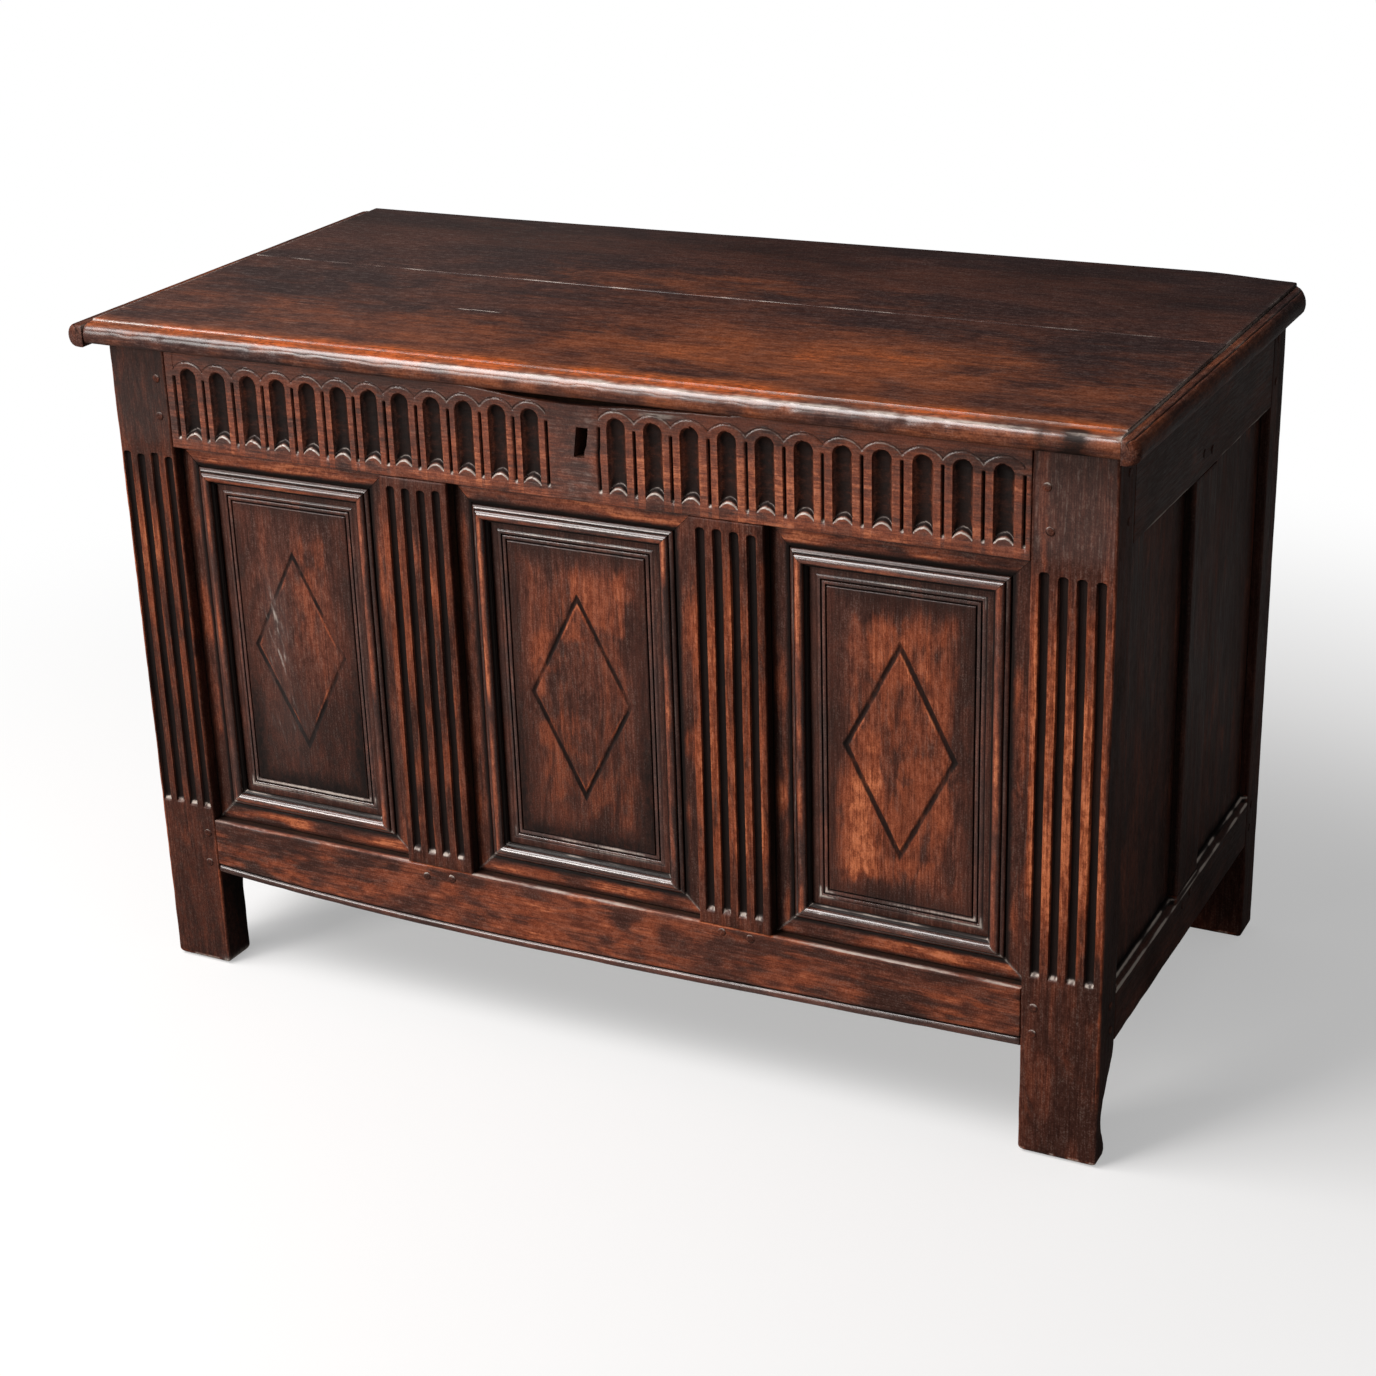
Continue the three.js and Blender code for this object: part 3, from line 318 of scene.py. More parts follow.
def board(name, side, xs, zs, depth, seed, along, wear, finish="stained_oak", back=None, warp=None,
          hole=None, radius=None):
    """A board whose face is a relief: y = depth(x, z) on a grid, with worn arrises all round.

    xs and zs are the grid's places and warp moves them. back is a list of (x0, x1, z0, z1, y) loops
    behind the face, each the outline drawn in straight to that rectangle; without one the board has
    its ordinary thickness. A hole (i0, i1, j0, j1) leaves those cells of the grid open right through.
    wear(x, z, proud, sunk) gives rub, grime and dust, which in places carry painted light, shade and highlights,
    and, where there is any, polish.
    """
    columns, rows = len(xs), len(zs)
    outline = (xs[0], xs[-1], zs[0], zs[-1])
    gx, gz = np.meshgrid(xs, zs, indexing="ij")
    chips = (radius or millimetres("arris_radius")) * (1 + 0.9 * unit(ripple(gx, gz, 23, seed + 5)))
    face = depth(gx, gz) + worn_arris(inset_of(gx, gz, *outline), chips)
    px, pz = warp(gx, gz) if warp else (gx, gz)
    front = np.stack([px, face, pz], axis=-1).reshape(-1, 3)
    loop = rim_of(rows, 0, columns - 1, 0, rows - 1)
    rim = front[loop]
    if back is None:
        back = [(*outline, rim[:, 1].max() + 2.5), (*outline, BOARD_THICKNESS)]
    share_x = (rim[:, 0] - xs[0]) / (xs[-1] - xs[0])
    share_z = (rim[:, 2] - zs[0]) / (zs[-1] - zs[0])
    points, loops = [front], [loop]
    for x0, x1, z0, z1, y in back:
        loops.append(sum(map(len, points)) + np.arange(len(loop)))
        points.append(np.stack([x0 + share_x * (x1 - x0), y + 0 * share_x, z0 + share_z * (z1 - z0)],
                               axis=-1))
    cells, last = quads_of(columns, rows)[:, [1, 0, 3, 2]], loops[-1]
    faces = [np.stack([near, far, np.roll(far, -1), np.roll(near, -1)], axis=-1)
             for near, far in zip(loops, loops[1:])]
    if hole is None:
        faces += [cells, last[::-1][None, :]]
    else:
        i0, i1, j0, j1 = hole
        solid = np.ones((columns - 1, rows - 1), bool)
        solid[i0:i1, j0:j1] = False
        near = rim_of(rows, *hole)
        far = sum(map(len, points)) + np.arange(len(near))
        points.append(front[near] * (1, 0, 1) + (0, back[-1][4], 0))
        faces += [cells[solid.ravel()], np.stack([near, np.roll(near, -1), np.roll(far, -1), far], axis=-1)]
        # The back round the hole is four faces, from each side of the hole to its part of the outline.
        top, whole, wide, tall = 2 * columns + rows - 3, len(last), i1 - i0, j1 - j0
        outer = (i0, i1, top - i1, top - i0, whole + i0)
        inner = (0, wide, wide + tall, 2 * wide + tall, 2 * (wide + tall))
        for k in range(4):
            out = last[np.arange(outer[k], outer[k + 1] + 1) % whole]
            home = far[np.arange(inner[k + 1], inner[k] - 1, -1) % len(far)]
            faces.append(np.concatenate([out, home])[::-1][None, :])
    points = np.concatenate(points)
    behind = len(points) - gx.size
    values = (*wear(gx, gz, *relief_masks(depth, gx, gz)), 0.0)
    maps = {key: np.concatenate([np.broadcast_to(value, gx.shape).ravel(), np.zeros(behind)])
            for key, value in zip(("rub", "grime", "dust", "polish"), values)}
    maps["grime"][gx.size:] = 0.55
    maps["dry"] = np.arange(len(points)) >= gx.size + (len(back) - 1) * len(loop)
    add_piece(name, points, faces, maps, along, seed, finish, side=side)


# Shader wires


class Wire:
    """A shader socket that takes part in Python sums: each operator adds its Math node."""

    def __init__(self, paint, socket):
        self.paint, self.socket = paint, socket

    def maths(self, operation, first, second):
        return self.paint.add("ShaderNodeMath", {0: first, 1: second}, operation=operation)

    def __add__(self, other):
        return self.maths("ADD", self, other)

    __radd__ = __add__

    def __sub__(self, other):
        return self.maths("SUBTRACT", self, other)

    def __rsub__(self, other):
        return self.maths("SUBTRACT", other, self)

    def __mul__(self, other):
        return self.maths("MULTIPLY", self, other)

    __rmul__ = __mul__

    def most(self, other):
        return self.maths("MAXIMUM", self, other)

    def from_to(self, low, high):
        """0 below low and 1 above high, smooth between."""
        return self.paint.add("ShaderNodeMapRange", {0: self, 1: low, 2: high},
                              interpolation_type="SMOOTHSTEP")


class Paint:
    """The node tree of a material or a world, with one method that adds any node and a few that name
    common ones."""

    def __init__(self, owner):
        owner.use_nodes = True
        self.owner, self.tree = owner, owner.node_tree
        self.tree.nodes.clear()

    def add(self, kind, sockets=None, out=0, **settings):
        node = self.tree.nodes.new(kind)
        for key, value in settings.items():
            setattr(node, key, value)
        for key, value in (sockets or {}).items():
            if isinstance(value, Wire):
                self.tree.links.new(value.socket, node.inputs[key])
            else:
                node.inputs[key].default_value = value
        return Wire(self, node.outputs[out]) if len(node.outputs) else node

    def attribute(self, name, out="Fac"):
        return self.add("ShaderNodeAttribute", out=out, attribute_name=name)

    def noise(self, vector, scale, detail=3.0, rough=0.55, twist=0.0):
        """Noise from 0 to 1. A scale of three numbers stretches it along the axes."""
        if isinstance(scale, tuple):
            vector, scale = self.add("ShaderNodeMapping", {"Vector": vector, "Scale": scale}), 1.0
        return self.add("ShaderNodeTexNoise", {"Vector": vector, "Scale": scale, "Detail": detail,
                                               "Roughness": rough, "Distortion": twist})

    def mixed(self, factor, first, second, blend="MIX"):
        first, second = ((*c, 1.0) if isinstance(c, tuple) else c for c in (first, second))
        return self.add("ShaderNodeMix", {0: factor, 6: first, 7: second}, out=2, data_type="RGBA",
                        blend_type=blend)

    def finish(self, colour, roughness, bump, bump_strength=0.35, bump_distance=0.0006, **constants):
        normal = self.add("ShaderNodeBump", {"Height": bump, "Strength": bump_strength,
                                             "Distance": bump_distance})
        shader = self.add("ShaderNodeBsdfPrincipled", {
            "Base Color": colour, "Roughness": roughness, "Normal": normal,
            **{key.replace("_", " "): value for key, value in constants.items()}})
        self.add("ShaderNodeOutputMaterial", {"Surface": shader})
        return self.owner


def darkened(colour):
    return tuple(c * 0.4 for c in colour)


def waxed_oak(name, dark, brown, warm, worn, dry_pale, dry_brown, gloss=0.42, streaky=0.45, patchy=1.0,
              blotches=(12.0, 42.0)):
    """Stained oak under wax. Fibres, blotches and slow clouds move between the dark and brown stains,
    rub takes it to warm and worn timber in streaks, and in places stands for painted light, grime
    to near black, as dirt and as painted shade, dust to pale wax and to painted highlights, and
    polish to a bright gloss. Where the dry attribute is 1 the timber was never stained."""
    paint = Paint(bpy.data.materials.new(name))
    grain = paint.attribute("grain", out="Vector")
    rub, grime, dust, polish, dry = map(paint.attribute, ("rub", "grime", "dust", "polish", "dry"))

    def figure(along, across, detail=3.0, rough=0.55, twist=0.0, low=0.36, high=0.64):
        """Noise along the grain, spread out to fill 0 to 1."""
        return paint.noise(grain, (along, across, across), detail, rough, twist).from_to(low, high)

    fibre = figure(5.0, 190.0, 4.0, 0.6, 0.3)
    fine = figure(30.0, 560.0)
    blotch = figure(*blotches, 4.0, 0.6, 0.8) * patchy + (1 - patchy) / 2
    patch = figure(*(0.6 * b for b in blotches), 5.0, 0.62, 1.2, 0.46, 0.54) * patchy + (1 - patchy) / 2
    grit = figure(620.0, 620.0, 2.0, 0.6)
    cloud = figure(2.8, 9.0, 3.0, 0.55, 0.6)
    speck = figure(120.0, 190.0, 2.0, 0.6)
    pores = figure(50.0, 1200.0, 2.0, 0.5, 0.0, 0.58, 0.7)
    tone = (fibre * (0.3 * streaky) + blotch * 0.4 + cloud * 0.35 + rub * 0.5).from_to(0.15, 1.05)
    colour = paint.mixed(tone, dark, brown)
    warmth = rub * (patch * 0.6 + 1.0) + blotch * 0.35 + fibre * (0.3 * streaky) + fine * 0.1
    colour = paint.mixed((warmth - 0.45).from_to(0.0, 0.85), colour, warm)
    bare = rub * (patch * 0.35 + 1.1) + fibre * (0.35 * streaky) + fine * 0.3 + speck * 0.25
    colour = paint.mixed((bare + blotch * 0.2 - 1.3).from_to(0.0, 0.7), colour, worn)
    shade = (pores * 0.7 + (1 - fine) * 0.35 + (1 - speck) * 0.45 + (1 - grit) * 0.5).from_to(0.25, 1.5)
    colour = paint.mixed(shade * 0.95, colour, (0.40, 0.29, 0.25), "MULTIPLY")
    glint = (grit * 0.5 + fine * 0.3 + speck * 0.2).from_to(0.6, 1.0)
    colour = paint.mixed(glint * 0.08, colour, (0.56, 0.46, 0.40))
    # Grime darkens towards near black and dust makes it pale: dirt and wax, and in places painted shade and painted
    # highlight.
    soot_and_shade = (grime * 1.2 + speck * 0.25 - 0.2).from_to(0.0, 0.9) * 0.94
    colour = paint.mixed(soot_and_shade, colour, (0.0065, 0.0045, 0.004))
    colour = paint.mixed(dust * 0.8, colour, (0.125, 0.102, 0.096))
    pale = (dust * 1.3 + speck * 0.16 + fine * 0.2 - 0.5).from_to(0.0, 0.85)
    colour = paint.mixed(pale * 0.9, colour, (0.56, 0.48, 0.42))
    bare_tone = (fibre * 0.5 + cloud * 0.5 + fine * 0.25 - 0.1).from_to(0.0, 1.0)
    bare_oak = paint.mixed(bare_tone, dry_brown, dry_pale)
    bare_oak = paint.mixed(shade * 0.5 + grime * 0.3, bare_oak, darkened(dry_brown))
    colour = paint.mixed(dry, colour, bare_oak)
    roughness = dry * 0.25 + soot_and_shade * 0.25 + pale * 0.2 + (fine - 0.5) * 0.16 + (cloud - 0.5) * 0.12
    height = (fibre * 0.4 + fine * 0.5 + speck * 0.35 - pores * 0.8) * (1 - polish * 0.8)
    coat = (polish * 0.95 + 0.05) * (1 - dry) * (1 - soot_and_shade)
    return paint.finish(colour, roughness - polish * 0.14 + gloss, height, Coat_Weight=coat,
                        Coat_Roughness=0.24, Coat_IOR=1.9, Specular_IOR_Level=0.12)


def plain_oak(name, pale, brown, along):
    """Oak that was never waxed: dry fibres between two browns, dulled by dirt."""
    paint = Paint(bpy.data.materials.new(name))
    turn = {"x": (0, 0, 0), "y": (0, 0, -math.pi / 2), "z": (0, math.pi / 2, 0)}[along]
    place = paint.add("ShaderNodeTexCoord", out="Object")
    grain = paint.add("ShaderNodeMapping", {"Vector": place, "Rotation": turn})
    fibre = paint.noise(grain, (4.0, 150.0, 150.0), 4.0, 0.6, 0.4)
    fine = paint.noise(grain, (20.0, 560.0, 560.0), 3.0, 0.6)
    cloud = paint.noise(grain, 6.0, 3.0, 0.6, 0.5)
    tone = (fibre * 0.8 + cloud * 0.7 + fine * 0.3 - 0.35).from_to(0.2, 0.95)
    colour = paint.mixed(tone, brown, pale)
    colour = paint.mixed(cloud.from_to(0.5, 0.75) * 0.5, colour, darkened(brown))
    return paint.finish(colour, fine * 0.2 + 0.62, fibre * 0.7 + fine * 0.5, bump_strength=0.45,
                        Specular_IOR_Level=0.25)


def forged_iron(name, black, rust):
    """Hammered iron gone black, with rust in its hollows and a dull sheen on what is rubbed."""
    paint = Paint(bpy.data.materials.new(name))
    place = paint.add("ShaderNodeTexCoord", out="Object")
    beaten = paint.noise(place, 90.0, 2.0, 0.5)
    grit = paint.noise(place, 700.0, 4.0, 0.65)
    cloud = paint.noise(place, 35.0, 4.0, 0.6, 0.8)
    rusty = (cloud * 0.8 + grit * 0.5 - 0.3).from_to(0.3, 0.62)
    colour = paint.mixed(rusty * 0.75, black, rust)
    return paint.finish(colour, grit * 0.25 + rusty * 0.25 + 0.38, beaten * 0.8 + grit * 0.2,
                        bump_strength=0.5, bump_distance=0.0012, Metallic=1.0 - rusty * 0.8)


# What a user may change


class CofferColours(bpy.types.PropertyGroup):
    """The stains and finishes of the chest."""

    def colour(label, words, default):
        return bpy.props.FloatVectorProperty(name=label, description=words, default=default,
                                             subtype="COLOR", size=3, min=0.0, max=1.0)

    dark: colour("Dark stain", "Timber where the stain and polish lie thickest", (0.050, 0.0178, 0.0118))
    brown: colour("Brown stain", "Timber under the ordinary stain", (0.128, 0.0395, 0.0235))
    warm: colour("Warm timber", "Timber where the stain has thinned", (0.285, 0.071, 0.0295))
    worn: colour("Worn timber", "Timber rubbed bare along arrises", (0.56, 0.166, 0.068))
    lid_dark: colour("Lid, dark", "The lid away from its front edge", (0.036, 0.0185, 0.0180))
    lid_brown: colour("Lid, brown", "The lid's lighter fibres", (0.116, 0.042, 0.027))
    lid_warm: colour("Lid, warm", "The lid where hands have rubbed it", (0.285, 0.080, 0.029))
    lid_worn: colour("Lid, worn", "The lid's nosing, rubbed to bare timber", (0.56, 0.112, 0.016))
    dry_pale: colour("Unwaxed timber, pale", "Fibres inside and behind the chest", (0.135, 0.080, 0.043))
    dry_brown: colour("Unwaxed timber, brown", "Shaded timber inside and behind", (0.050, 0.028, 0.016))
    iron: colour("Iron", "Hinges and lock", (0.03, 0.027, 0.025))
    rust: colour("Rust", "Rust on the iron", (0.09, 0.035, 0.015))


class CofferSizes(bpy.types.PropertyGroup):
    """The sizes of the carving and of the small fasteners."""

    def length(label, words, default):
        return bpy.props.FloatProperty(name=label, description=words, default=default * MM,
                                       subtype="DISTANCE", unit="LENGTH", min=0.0)

    peg_radius: length("Peg radius", "Half the width of a peg head", 4.4)
    peg_rise: length("Peg rise", "How far a peg head stands out", 0.9)
    nail_radius: length("Nail radius", "Half the width of a nail head", 4.0)
    arris_radius: length("Worn arris", "Radius of the worn edges of the boards", ARRIS)
    surface_wave: length("Surface wave", "Unevenness of the hand-planed faces", 0.35)
    flute_depth: length("Flute depth", "Depth of the frieze's hollows", 6.5)
    channel_depth: length("Channel depth", "Depth of the hollows on posts and muntins", 4.0)
    line_depth: length("Incised line", "Depth of the lozenges' lines", 1.3)


def millimetres(key):
    return getattr(bpy.context.scene.coffer_sizes, key) / MM


def finish_named(key):
    """One of the chest's finishes, made the first time that it is asked for."""
    def picked(*names):
        return [tuple(getattr(bpy.context.scene.coffer_colours, name)) for name in names]

    if key in bpy.data.materials:
        return bpy.data.materials[key]
    dry = picked("dry_pale", "dry_brown")
    if key == "stained_oak":
        return waxed_oak(key, *picked("dark", "brown", "warm", "worn"), *dry)
    if key == "lid_oak":
        return waxed_oak(key, *picked("lid_dark", "lid_brown", "lid_warm", "lid_worn"), *dry, gloss=0.4,
                         streaky=0.3, patchy=0.45, blotches=(14.0, 26.0))
    if key.startswith("dry_oak_"):
        return plain_oak(key, *dry, key[-1])
    return forged_iron(key, *picked("iron", "rust"))


# Carving


def face_wave(x, z, seed):
    """The slow unevenness of a hand-planed face."""
    wave = 0.6 * ripple(x, z * 0.35, 34, seed) + 0.4 * ripple(x, z, 90, seed + 1)
    return millimetres("surface_wave") * wave


CHANNEL_PITCH, CHANNEL_WIDTH = 17.8, 9.6
CHANNEL_LOW, CHANNEL_HIGH = FRONT_LOW + 15.0, FRONT_HIGH - 10.0


def channel_middles(left, right):
    return (left + right) / 2 + CHANNEL_PITCH * (np.arange(4) - 1.5)


def channel_relief(left, right, seed):
    """Four hollows down a face, their ends a little uneven."""
    shifts = np.random.default_rng(seed).uniform(-1.6, 1.6, (4, 2))
    depth = millimetres("channel_depth")

    def relief(x, z):
        cut = np.zeros_like(x)
        for middle, (lower, upper) in zip(channel_middles(left, right), shifts):
            sway = 0.35 * ripple(z, middle, 70, seed + 9)
            cut = np.maximum(cut, gouge(x, z, middle + sway, CHANNEL_LOW + lower, CHANNEL_HIGH + upper,
                                        CHANNEL_WIDTH, depth, 0.0, 1.2, 0.7))
        return cut + face_wave(x, z, seed)

    return relief


def channel_columns(left, right):
    """Columns of the grid: close together over each hollow's walls, wider on the flats."""
    side = np.array([0.33, 0.62, 0.82, 0.93, 0.985, 1.06])
    across = CHANNEL_WIDTH / 2 * np.concatenate([-side[::-1], [0.0], side])
    middles = channel_middles(left, right)
    flats = middles[:-1] + CHANNEL_PITCH / 2
    return np.concatenate([(middles[:, None] + across).ravel(), flats, flats - 2.4, flats + 2.4])


def channel_rows(low, high):
    return merged([low], np.arange(low, high, 6.0)[1:], np.arange(CHANNEL_LOW - 3, CHANNEL_LOW + 9, 0.7),
                  np.arange(CHANNEL_HIGH - 7, CHANNEL_HIGH + 3, 0.7), [high], gap=0.35)


def streaked(x, z, seed):
    """Long uneven streaks from 0 to 1 that follow an upright grain."""
    return unit(0.5 + 0.5 * ripple(x, z * 0.06, 7, seed) + 0.35 * ripple(x, z * 0.15, 19, seed + 3))


def post_wear(left, right, seed, strength, shade=0.0, lifted=0.0):
    """Wear of a carved post: the flats between its hollows are rubbed in patches, the hollows hold
    dirt, and the slopes that end them are pale, as wax and as painted highlight. The whole is
    darkened by the shade, and lifted takes the rubbing off its lower half."""
    patches = 0.25 + 0.75 * np.random.default_rng(seed + 60).random(7)

    def wear(x, z, proud, sunk):
        off = x - (left + right) / 2
        lane = np.clip(np.round(off / CHANNEL_PITCH) + 3, 0, 6).astype(int)
        lanes = np.abs(off) < 2.2 * CHANNEL_PITCH
        carved = (z > CHANNEL_LOW + 5) * (z < CHANNEL_HIGH) * lanes
        band = ease(z, CHANNEL_LOW, CHANNEL_LOW + 110) * (1 - lifted * (1 - ease(z, 330, 480)))
        band = band * (1 - 0.9 * ease(z, CHANNEL_HIGH - 90, CHANNEL_HIGH - 5))
        patch = unit(0.55 + 0.8 * ripple(z, 40 * lane, 75, seed + 11)) * (0.45 + 0.55 * patches[lane])
        flats = 0.3 + 0.8 * patch * streaked(x, z, seed) + 0.25 * patch
        rub = strength * band * flats * (sunk < 0.35) * carved
        rub = rub + unit(proud / 1.3) * carved * (0.14 + 0.36 * band * strength)
        rub = rub + 0.2 * streaked(x, z, seed + 1) * strength * ease(z, 60, 200) + 0.08
        rub = rub + 0.2 * hump(z, 60, 50) * unit(ripple(x, z, 26, seed + 12))
        across = off / CHANNEL_PITCH + 1.5
        inside = np.abs(across - np.round(across)) * CHANNEL_PITCH < CHANNEL_WIDTH * 0.42
        stop = hump(z, CHANNEL_LOW + 2.0, 2.3) * inside * lanes
        grime = unit(sunk / 1.7) * 1.15 + 0.1 * (1 - ease(z, 0, 120)) + 0.1 * ease(z, 590, 640)
        # Painted highlight, with wax: the up-facing slopes of the stops are made pale and lose their grime.
        pale = 0.85 * stop * unit(0.75 + 0.6 * ripple(x * 2, z * 2, 5, seed + 13))
        pale = pale + (0.22 - 0.25 * shade) * ease(z, CHANNEL_HIGH + 4, CHANNEL_HIGH + 26)
        return rub, (grime + shade) * (1 - 0.9 * stop), pale

    return wear


class COFFER_OT_posts(bpy.types.Operator):
    """The four corner posts, with hollows down the front ones and feet below the rails"""

    bl_idname = "coffer.posts"
    bl_label = "Posts"

    def execute(self, context):
        spans = {"left": (0.0, POST_WIDTHS[0]), "right": (WIDTH - POST_WIDTHS[1], WIDTH)}
        for seed, (where, span) in enumerate(spans.items()):
            self.post(f"stile_front_{where}", *span, True, where == "left", 11 + seed)
            self.post(f"stile_back_{where}", *span, False, where == "left", 21 + seed)
        return {"FINISHED"}

    def post(self, node, x0, x1, front, left, seed):
        """A post: its section's outline, with rounded corners, is carried up in rows, and the
        relief of the hollows pushes its front face in. Below the rail its inner side is cut back."""
        relief, rows = lambda x, z: face_wave(x, z, seed), merged(np.arange(7.0, HEIGHT, 12.0), [HEIGHT])
        columns, step = np.arange(x0 + 6, x1 - 5, 8.0), 9.0
        if front:
            relief, rows = channel_relief(x0, x1, seed), channel_rows(7.0, HEIGHT)
            columns, step = channel_columns(x0, x1), 3.0
        rows = merged([0.0, 0.4, 1.4, 3.0, 5.0], rows, [86.0, RAIL_LOW], gap=0.35)
        columns = merged([x0 + 3.2], columns, np.arange(x0 + 4, x1 - 3, step), [x1 - 3.2], gap=0.5)
        depths = np.arange(4.0, POST_DEPTH - 3.9, 6.5)
        z = rows[:, None]
        corner = 1.6 + 1.5 * unit(ripple(z, 0, 30, seed)) + 0.8 * unit(ripple(z, 40, 9, seed))
        foot = worn_arris(z, 7.5)
        a, b, c, d = x0 + foot, x1 - foot, foot, POST_DEPTH - 5.0 * (1 - ease(z, 80.0, RAIL_LOW)) - foot
        scale = (b - a) / (x1 - x0)
        corner = np.minimum(corner, scale * (min(columns[0] - x0, x1 - columns[-1]) - 0.1))
        over, through = a + (columns - x0) * scale, c + depths * (d - c) / POST_DEPTH
        bend = np.linspace(0, math.pi / 2, 5)
        out, turned = corner * np.sin(bend) - corner, corner * np.cos(bend) - corner
        x = np.concatenate([over, b + out, b + 0 * depths, b + turned, over[:, ::-1], a - out,
                            a + 0 * depths, a - turned], axis=1)
        y = np.concatenate([c + 0 * columns, c - turned, through, d + out, d + 0 * columns, d + turned,
                            through[:, ::-1], c - out], axis=1)
        n, m = len(columns), len(depths)
        part = np.repeat(np.arange(8), [n, 5, m, 5, n, 5, m, 5])
        face, corners = part == 0, (part == 1) | (part == 7)
        if front and not left:
            held = 14.0 + 12.0 * (1 - ease(z, 8, 42)) + 30.0 * ease(z, 48, RAIL_LOW)
            lost = 17.0 * ease(y, held - 4, held + 26) * ease(x, x0 + 25, x0 + 60)
            x = x - lost * (1 - ease(z, RAIL_LOW - 30, RAIL_LOW))
        z = np.broadcast_to(z, x.shape)
        y = y + np.where(face, np.clip(relief(x, z), 0, None) * (z > 8), 0)
        worn = np.zeros((3, *x.shape))
        masks = relief_masks(relief, x[:, :n], z[:, :n])
        strength, shade, lifted = (0.6, 0.32, 0.75) if left else (1.1, 0.0, 0.0)
        wear = post_wear(x0, x1, seed, strength * front, shade, lifted)
        worn[:, :, :n] = wear(x[:, :n], z[:, :n], *masks)
        rub, grime, dust = worn
        inner_side = (x < (x0 + x1) / 2) != left
        edge_rub = 0.08 + 0.75 * streaked(3, z, seed + 7) * ease(z, 20, 140) * (1 - 0.7 * ease(z, 560, 620))
        rub = np.where(corners, edge_rub * np.where(inner_side & (z > RAIL_LOW), 0.55, 1.0), rub)
        sole = unit(1.2 * ripple(x, y, 11, seed + 8) + 0.5)
        rub = np.where(z < 5.5, sole, rub)
        dust = np.where((z < 7) & (sole > 0.75), 0.55, dust)
        under = 1 - ease(z, RAIL_LOW - 12, RAIL_LOW)
        side_grime = 0.1 + 0.15 * ease(z, 60, 160) + 0.12 * ripple(y * 3, z, 60, seed)
        grime = np.where(face | corners, grime, side_grime + 0.5 * under * inner_side * front)
        if front and left:
            dust = dust + 0.9 * hump(x, x1, 10) * hump(z, 2, 6)
        inward = x - x0 if left else x1 - x
        dry = (z > RAIL_LOW) & (np.minimum(y, inward) > BOARD_THICKNESS + 0.5) | face & (not front)
        rings = np.stack([x, y if front else DEPTH - y, z], axis=-1)
        swept(node, rings, {"rub": rub, "grime": grime, "dust": dust, "dry": dry}, "z", seed)


# The frieze's runs of flutes (start, end, number of flutes), and the knife's drift in each bay.
FLUTE_RUNS = ((80.0, 518.95, 12), (575.45, 1000.5, 11))
FLUTE_WIDTH, GROOVE_HALF = 19.4, 1.9
CUSP, CROWN = 85.0, 94.0
KEY_MIDDLE, KEY_HALF, KEY_LOW, KEY_HIGH, KEY_SLANT = 556.4, 6.5, 651.5, 681.5, 4.0
FRIEZE_DRIFT = np.random.default_rng(5).uniform(-1, 1, (40, 5))


def frieze_bays(x):
    """For each place along the frieze: the middle of its bay, its offset from the nearest line
    between bays, that line's drift, the bay's width, and whether it lies inside a run of flutes."""
    middle, off_line, pitch = np.zeros_like(x), np.full_like(x, 99.0), np.full_like(x, 36.0)
    number, inside = np.zeros(x.shape, int), np.zeros(x.shape, bool)
    for run, (start, stop, count) in enumerate(FLUTE_RUNS):
        width = (stop - start) / count
        place = (x - start) / width
        here = (place > -0.4) & (place < count + 0.4)
        near = np.clip(np.round(place), 0, count).astype(int)
        bay = np.clip(np.floor(place), 0, count - 1).astype(int)
        line = start + near * width + FRIEZE_DRIFT[near + 20 * run, 0] * 0.5
        middle = np.where(here, start + (bay + 0.5) * width + FRIEZE_DRIFT[bay + 20 * run, 3] * 0.5, middle)
        off_line = np.where(here, x - line, off_line)
        number = np.where(here, near + 20 * run, number)
        pitch = np.where(here, width, pitch)
        inside |= (place > 0) & (place < count)
    return middle, off_line, np.moveaxis(FRIEZE_DRIFT[number], -1, 0), pitch, inside


def scallop_distance(x, z, middle, pitch):
    """Distance outside the arc that springs from the cusps between bays up to its crown."""
    rise = CROWN - CUSP
    radius = pitch**2 / (8 * rise) + rise / 2
    return np.hypot(x - middle, z - (FRONT_HIGH + CROWN - radius)) - radius


def frieze_relief(x, z):
    """The fluted frieze: a hollow in every bay, a V line between bays, and an arc cut over each."""
    middle, off_line, drift, pitch, inside = frieze_bays(x)
    up = z - FRONT_HIGH
    ends = np.minimum(up - 10.5 - drift[1], 78.5 + 2 * drift[2] - up)
    line = np.minimum(vee(off_line, GROOVE_HALF, 3.6), np.clip(ends * 1.3, 0, None))
    flute = gouge(x, up, middle, 11.5 + drift[4] * 0.7, 86.5 + drift[1] * 0.8, FLUTE_WIDTH,
                  millimetres("flute_depth"), 6.0, 0.6)
    arc = scallop_distance(x, z, middle, pitch) + 0.25 * ripple(x, z, 9, 36)
    upper, lower = unit(1 - arc / 0.7) * (arc >= 0), unit(1 + arc / 1.25) * (arc < 0)
    scallop = 0.95 * (upper + lower) * (up > CUSP - 4)
    above = 0.45 * ease(arc, 0, 1.5) * (up > CUSP - 3)
    cut = np.where(inside, np.maximum.reduce([line, flute, scallop, above]), line)
    return cut + 0.5 * unit(ripple(x, z, 5, 37) - 0.55) + face_wave(x, z, 31)


